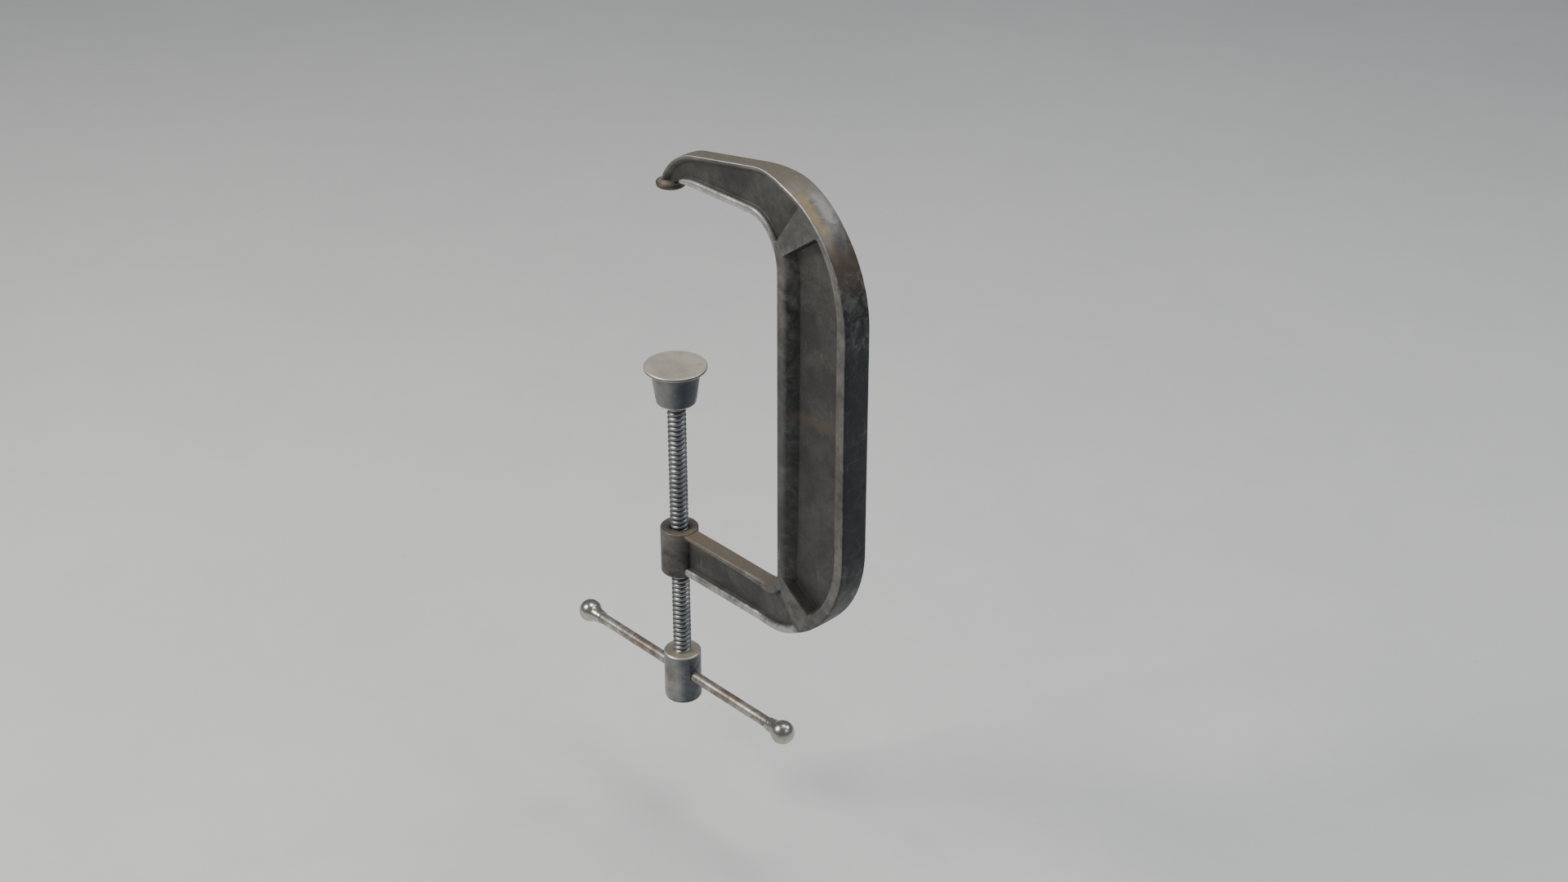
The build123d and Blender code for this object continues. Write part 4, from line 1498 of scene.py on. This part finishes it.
FACING = (0.35, 0.85)  # how squarely a face looks a patch's way where the patch starts and is full; facing patches paint shade on right-facing sides and light on tops, and keep some real marks to one side
UP, RIGHT, RIGHT_SIDE = (0.0, 0.0, 1.0), (1.0, 0.0, 0.0), (0.99, 0.12, 0.0)
CROWN = (0.70, 0.0, 0.71)
PAINTED_SHADE_COOL = (0.035, 0.046, 0.058)
DARK_PATCH = (0.030, 0.030, 0.029)
TAN = (0.125, 0.102, 0.076)
PAINTED_SHADE_BLUE = (0.0065, 0.0085, 0.0105)
CAST_STAINS_AND_LIGHT = (
    # Darker over the spine.
    ColourPatch((138.0, 0.0, -175.0), (62.0, 60.0, 180.0), DARK_PATCH, 0.55),
    # Painted shade: dark blue-grey down the spine's inner flange.
    ColourPatch((119.0, 0.0, -150.0), (13.0, 60.0, 180.0), (0.032, 0.034, 0.037), 0.5),
    # Darker along the lower arm and round the boss.
    ColourPatch((75.0, 0.0, -297.0), (90.0, 60.0, 20.0), DARK_PATCH, 0.4),
    ColourPatch((0.0, 0.0, -300.0), (26.0, 26.0, 34.0), (0.030, 0.028, 0.026), 0.75),
    ColourPatch((60.0, 0.0, 48.0), (170.0, 80.0, 32.0), TAN, 0.8, UP, 0.08),
    ColourPatch((60.0, 0.0, -275.0), (130.0, 80.0, 9.0), TAN, 0.8, UP, 0.08),
    # Painted shade: the right-facing outer spine made almost black and bluish.
    ColourPatch((186.0, 0.0, -175.0), (70.0, 70.0, 200.0), PAINTED_SHADE_BLUE, 0.95, RIGHT, -0.04),
    ColourPatch((186.0, 0.0, -95.0), (70.0, 70.0, 95.0), PAINTED_SHADE_BLUE, 0.9, RIGHT, -0.04),
    ColourPatch((172.0, 0.0, -4.0), (20.0, 40.0, 26.0), (0.062, 0.045, 0.030), 0.85, (0.92, 0.0, 0.38), 0.05),
    ColourPatch((150.0, -7.0, 27.0), (30.0, 6.5, 30.0), (0.26, 0.19, 0.09), 0.62, CROWN, -0.04),
    # Painted highlight: a pale, shinier patch on the crown's faces that turn up and to the right.
    ColourPatch((148.0, 3.5, 29.0), (18.0, 7.0, 17.0), (0.34, 0.33, 0.315), 0.5, CROWN, -0.1),
    ColourPatch((150.0, -3.0, -128.0), (40.0, 12.0, 6.0), (0.12, 0.072, 0.045), 0.4),
    ColourPatch((0.0, 0.0, 3.0), (14.0, 14.0, 6.0), (0.13, 0.098, 0.07), 0.7),
    ColourPatch((20.0, 0.0, -277.0), (26.0, 22.0, 10.0), (0.15, 0.115, 0.08), 0.6),
)
HUB_STAINS_AND_LIGHT = (
    # Painted shade: the right-facing side darkened and turned bluish.
    ColourPatch((0.0, 0.0, -408.0), (60.0, 60.0, 60.0), PAINTED_SHADE_COOL, 0.75, RIGHT_SIDE),
    # Painted top light: the upward faces made pale and warm.
    ColourPatch((0.0, 0.0, -386.0), (90.0, 90.0, 14.0), (0.52, 0.47, 0.37), 0.95, UP, 0.12),
    ColourPatch((0.0, -15.0, -406.0), (10.0, 8.0, 8.0), (0.15, 0.095, 0.06), 0.6),
)
BAR_STAINS = (
    ColourPatch((-45.0, 0.0, -406.0), (16.0, 12.0, 12.0), (0.17, 0.088, 0.052), 0.6),
    ColourPatch((52.0, 0.0, -406.0), (20.0, 12.0, 12.0), (0.17, 0.098, 0.06), 0.55),
)
PAD_STAINS_AND_LIGHT = (
    # Painted shade: the right-facing side darkened and turned bluish.
    ColourPatch((0.0, 0.0, -155.0), (60.0, 60.0, 60.0), PAINTED_SHADE_COOL, 0.8, RIGHT_SIDE),
    # Painted top light: the upward faces made pale and warm.
    ColourPatch((0.0, 0.0, -139.5), (120.0, 120.0, 16.0), (0.56, 0.515, 0.425), 0.95, UP, 0.2),
    ColourPatch((-17.0, -8.0, -139.5), (11.0, 11.0, 8.0), (0.40, 0.405, 0.40), 0.5, UP),
)
CASTING_FINISH = Finish(
    "cast_steel", (0.086, 0.082, 0.076), (0.182, 0.175, 0.160), recess=0.58, metallic=0.35, roughness=0.5,
    specks=0.13, scratches=0.1, relief=0.3, colour_patches=CAST_STAINS_AND_LIGHT,
)
FINISHES = (
    Finish(
        "anvil_steel", (0.062, 0.047, 0.034), (0.112, 0.088, 0.064), metallic=0.4,
        grime_and_shade_amount=0.3, edge_wear_and_highlight=0.1,
    ),
    Finish("bush_steel", (0.085, 0.070, 0.052), (0.22, 0.195, 0.155), roughness=0.42, edge_wear_and_highlight=0.5),
    Finish(
        "screw_steel", (0.15, 0.155, 0.16), (0.27, 0.272, 0.272), metallic=0.9, roughness=0.4,
        grime_and_shade=(0.020, 0.021, 0.023), grime_and_shade_amount=0.72, edge_wear_and_highlight=0.4,
    ),
    Finish(
        "hub_steel", (0.175, 0.177, 0.178), (0.28, 0.278, 0.27), metallic=0.8, roughness=0.38,
        pits=0.6, scratches=0.15, colour_patches=HUB_STAINS_AND_LIGHT,
    ),
    Finish(
        "bar_steel", (0.17, 0.15, 0.13), (0.54, 0.52, 0.48), metallic=0.8, roughness=0.38,
        patch_scale=85.0, scratches=0.4, pits=0.5, colour_patches=BAR_STAINS,
    ),
    Finish(
        "knob_steel", (0.30, 0.29, 0.255), (0.52, 0.50, 0.43), metallic=0.9, roughness=0.25,
        patch_scale=60.0, relief=0.15, scratches=0.1,
    ),
    Finish(
        "pad_steel", (0.125, 0.129, 0.131), (0.20, 0.20, 0.198), metallic=0.75, roughness=0.36,
        relief=0.12, specks=0.1, pits=0.1, scratches=0.06, edge_wear_and_highlight=1.0, colour_patches=PAD_STAINS_AND_LIGHT,
    ),
    Finish("pin_steel", (0.16, 0.155, 0.14), (0.30, 0.29, 0.27), metallic=0.85, roughness=0.4),
)
FLOOR_PAINT = Finish(
    "floor_paint", (0.60, 0.60, 0.595), (0.64, 0.64, 0.63), metallic=0.0, roughness=0.75, patch_scale=3.0,
    specks=0.0, pits=0.0, scratches=0.0, relief=0.0,
)


# ---------------------------------------------------------------- studio
@dataclass
class Studio:
    """A pale floor, soft lights and the camera, in metres."""

    camera_place: tuple = (1.17232, -0.99579, 0.66629)
    azimuth: float = 46.741
    elevation: float = 29.519
    lens: float = 55.3125
    sensor: float = 36.0
    clip: tuple = (0.05, 30.0)
    floor_span: float = 40.0
    screw_travel_down: float = 0.10401
    floor_gap: float = 0.002
    sky: tuple = (0.82, 0.89, 1.0, 1.0)
    sky_strength: float = 0.2
    lamps: tuple = (
        ("key", (-0.9, -1.5, 1.35), 0.8, 50.0, (1.0, 0.97, 0.92)),
        ("side", (1.7, 0.2, 0.9), 0.8, 5.0, (0.75, 0.87, 1.0)),
        ("top", (0.25, 0.25, 1.9), 0.9, 26.0, (1.0, 0.98, 0.95)),
        ("back", (1.1, 1.45, 1.55), 0.6, 14.0, (0.95, 0.97, 1.0)),
    )

    @staticmethod
    def put(name: str, data: object, place: tuple, look: Vector) -> bpy.types.Object:
        """Places a lamp or a camera.

        Args:
            name: its name.
            data: its light or camera data.
            place: where it stands.
            look: the way that it looks.

        Returns:
            The object.
        """
        made = bpy.data.objects.new(name, data)
        bpy.context.scene.collection.objects.link(made)
        made.location = place
        made.rotation_mode = "QUATERNION"
        made.rotation_quaternion = look.to_track_quat("-Z", "Y")
        return made

    def build(self, effects: Effects) -> None:
        """Makes the floor below the screw's lowest reach, the world, the lights and the camera."""
        scene, span = bpy.context.scene, self.floor_span
        drop = CAD_LOW[2] - self.screw_travel_down - self.floor_gap
        mesh = bpy.data.meshes.new("floor")
        corners = [(-span, -span, drop), (span, -span, drop), (span, span, drop), (-span, span, drop)]
        mesh.from_pydata(corners, [], [(0, 1, 2, 3)])
        mesh.materials.append(FLOOR_PAINT.material(effects))
        floor = bpy.data.objects.new("floor", mesh)
        scene.collection.objects.link(floor)

        scene.world = bpy.data.worlds.new("studio")
        scene.world.use_nodes = True
        backdrop = scene.world.node_tree.nodes["Background"].inputs
        backdrop["Color"].default_value, backdrop["Strength"].default_value = self.sky, self.sky_strength
        middle = Vector(((CAD_LOW[0] + CAD_HIGH[0]) / 2, 0.0, (CAD_LOW[2] + CAD_HIGH[2]) / 2))
        for name, place, size, power, colour in self.lamps:
            light = bpy.data.lights.new(name, "AREA")
            light.size, light.energy, light.color = size, power, colour
            self.put(name, light, place, middle - Vector(place))

        camera = bpy.data.cameras.new("camera")
        camera.lens, camera.sensor_width = self.lens, self.sensor
        camera.clip_start, camera.clip_end = self.clip
        a, e = math.radians(self.azimuth), math.radians(self.elevation)
        back = Vector((math.sin(a) * math.cos(e), -math.cos(a) * math.cos(e), math.sin(e)))
        scene.camera = self.put("camera", camera, self.camera_place, -back)


def main() -> None:
    """Builds every sub-assembly in order, dresses it and reports it."""
    logging.basicConfig(level=logging.INFO, format="%(name)s: %(message)s")
    effects = Effects()
    looks = {finish.name: finish.material(effects) for finish in FINISHES}
    looks["casting"] = CASTING_FINISH.material(effects)
    for assembly in (Casting(), Screw(), TBar(), JawFaces()):
        assembly.build(looks)
    for name in ("bush_lock_pin", "hub_pin", "pad_retaining_ring"):
        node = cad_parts[name]
        node.data.materials.clear()
        node.data.materials.append(looks["pin_steel"])
    Studio().build(effects)


if __name__ == "__main__":
    main()
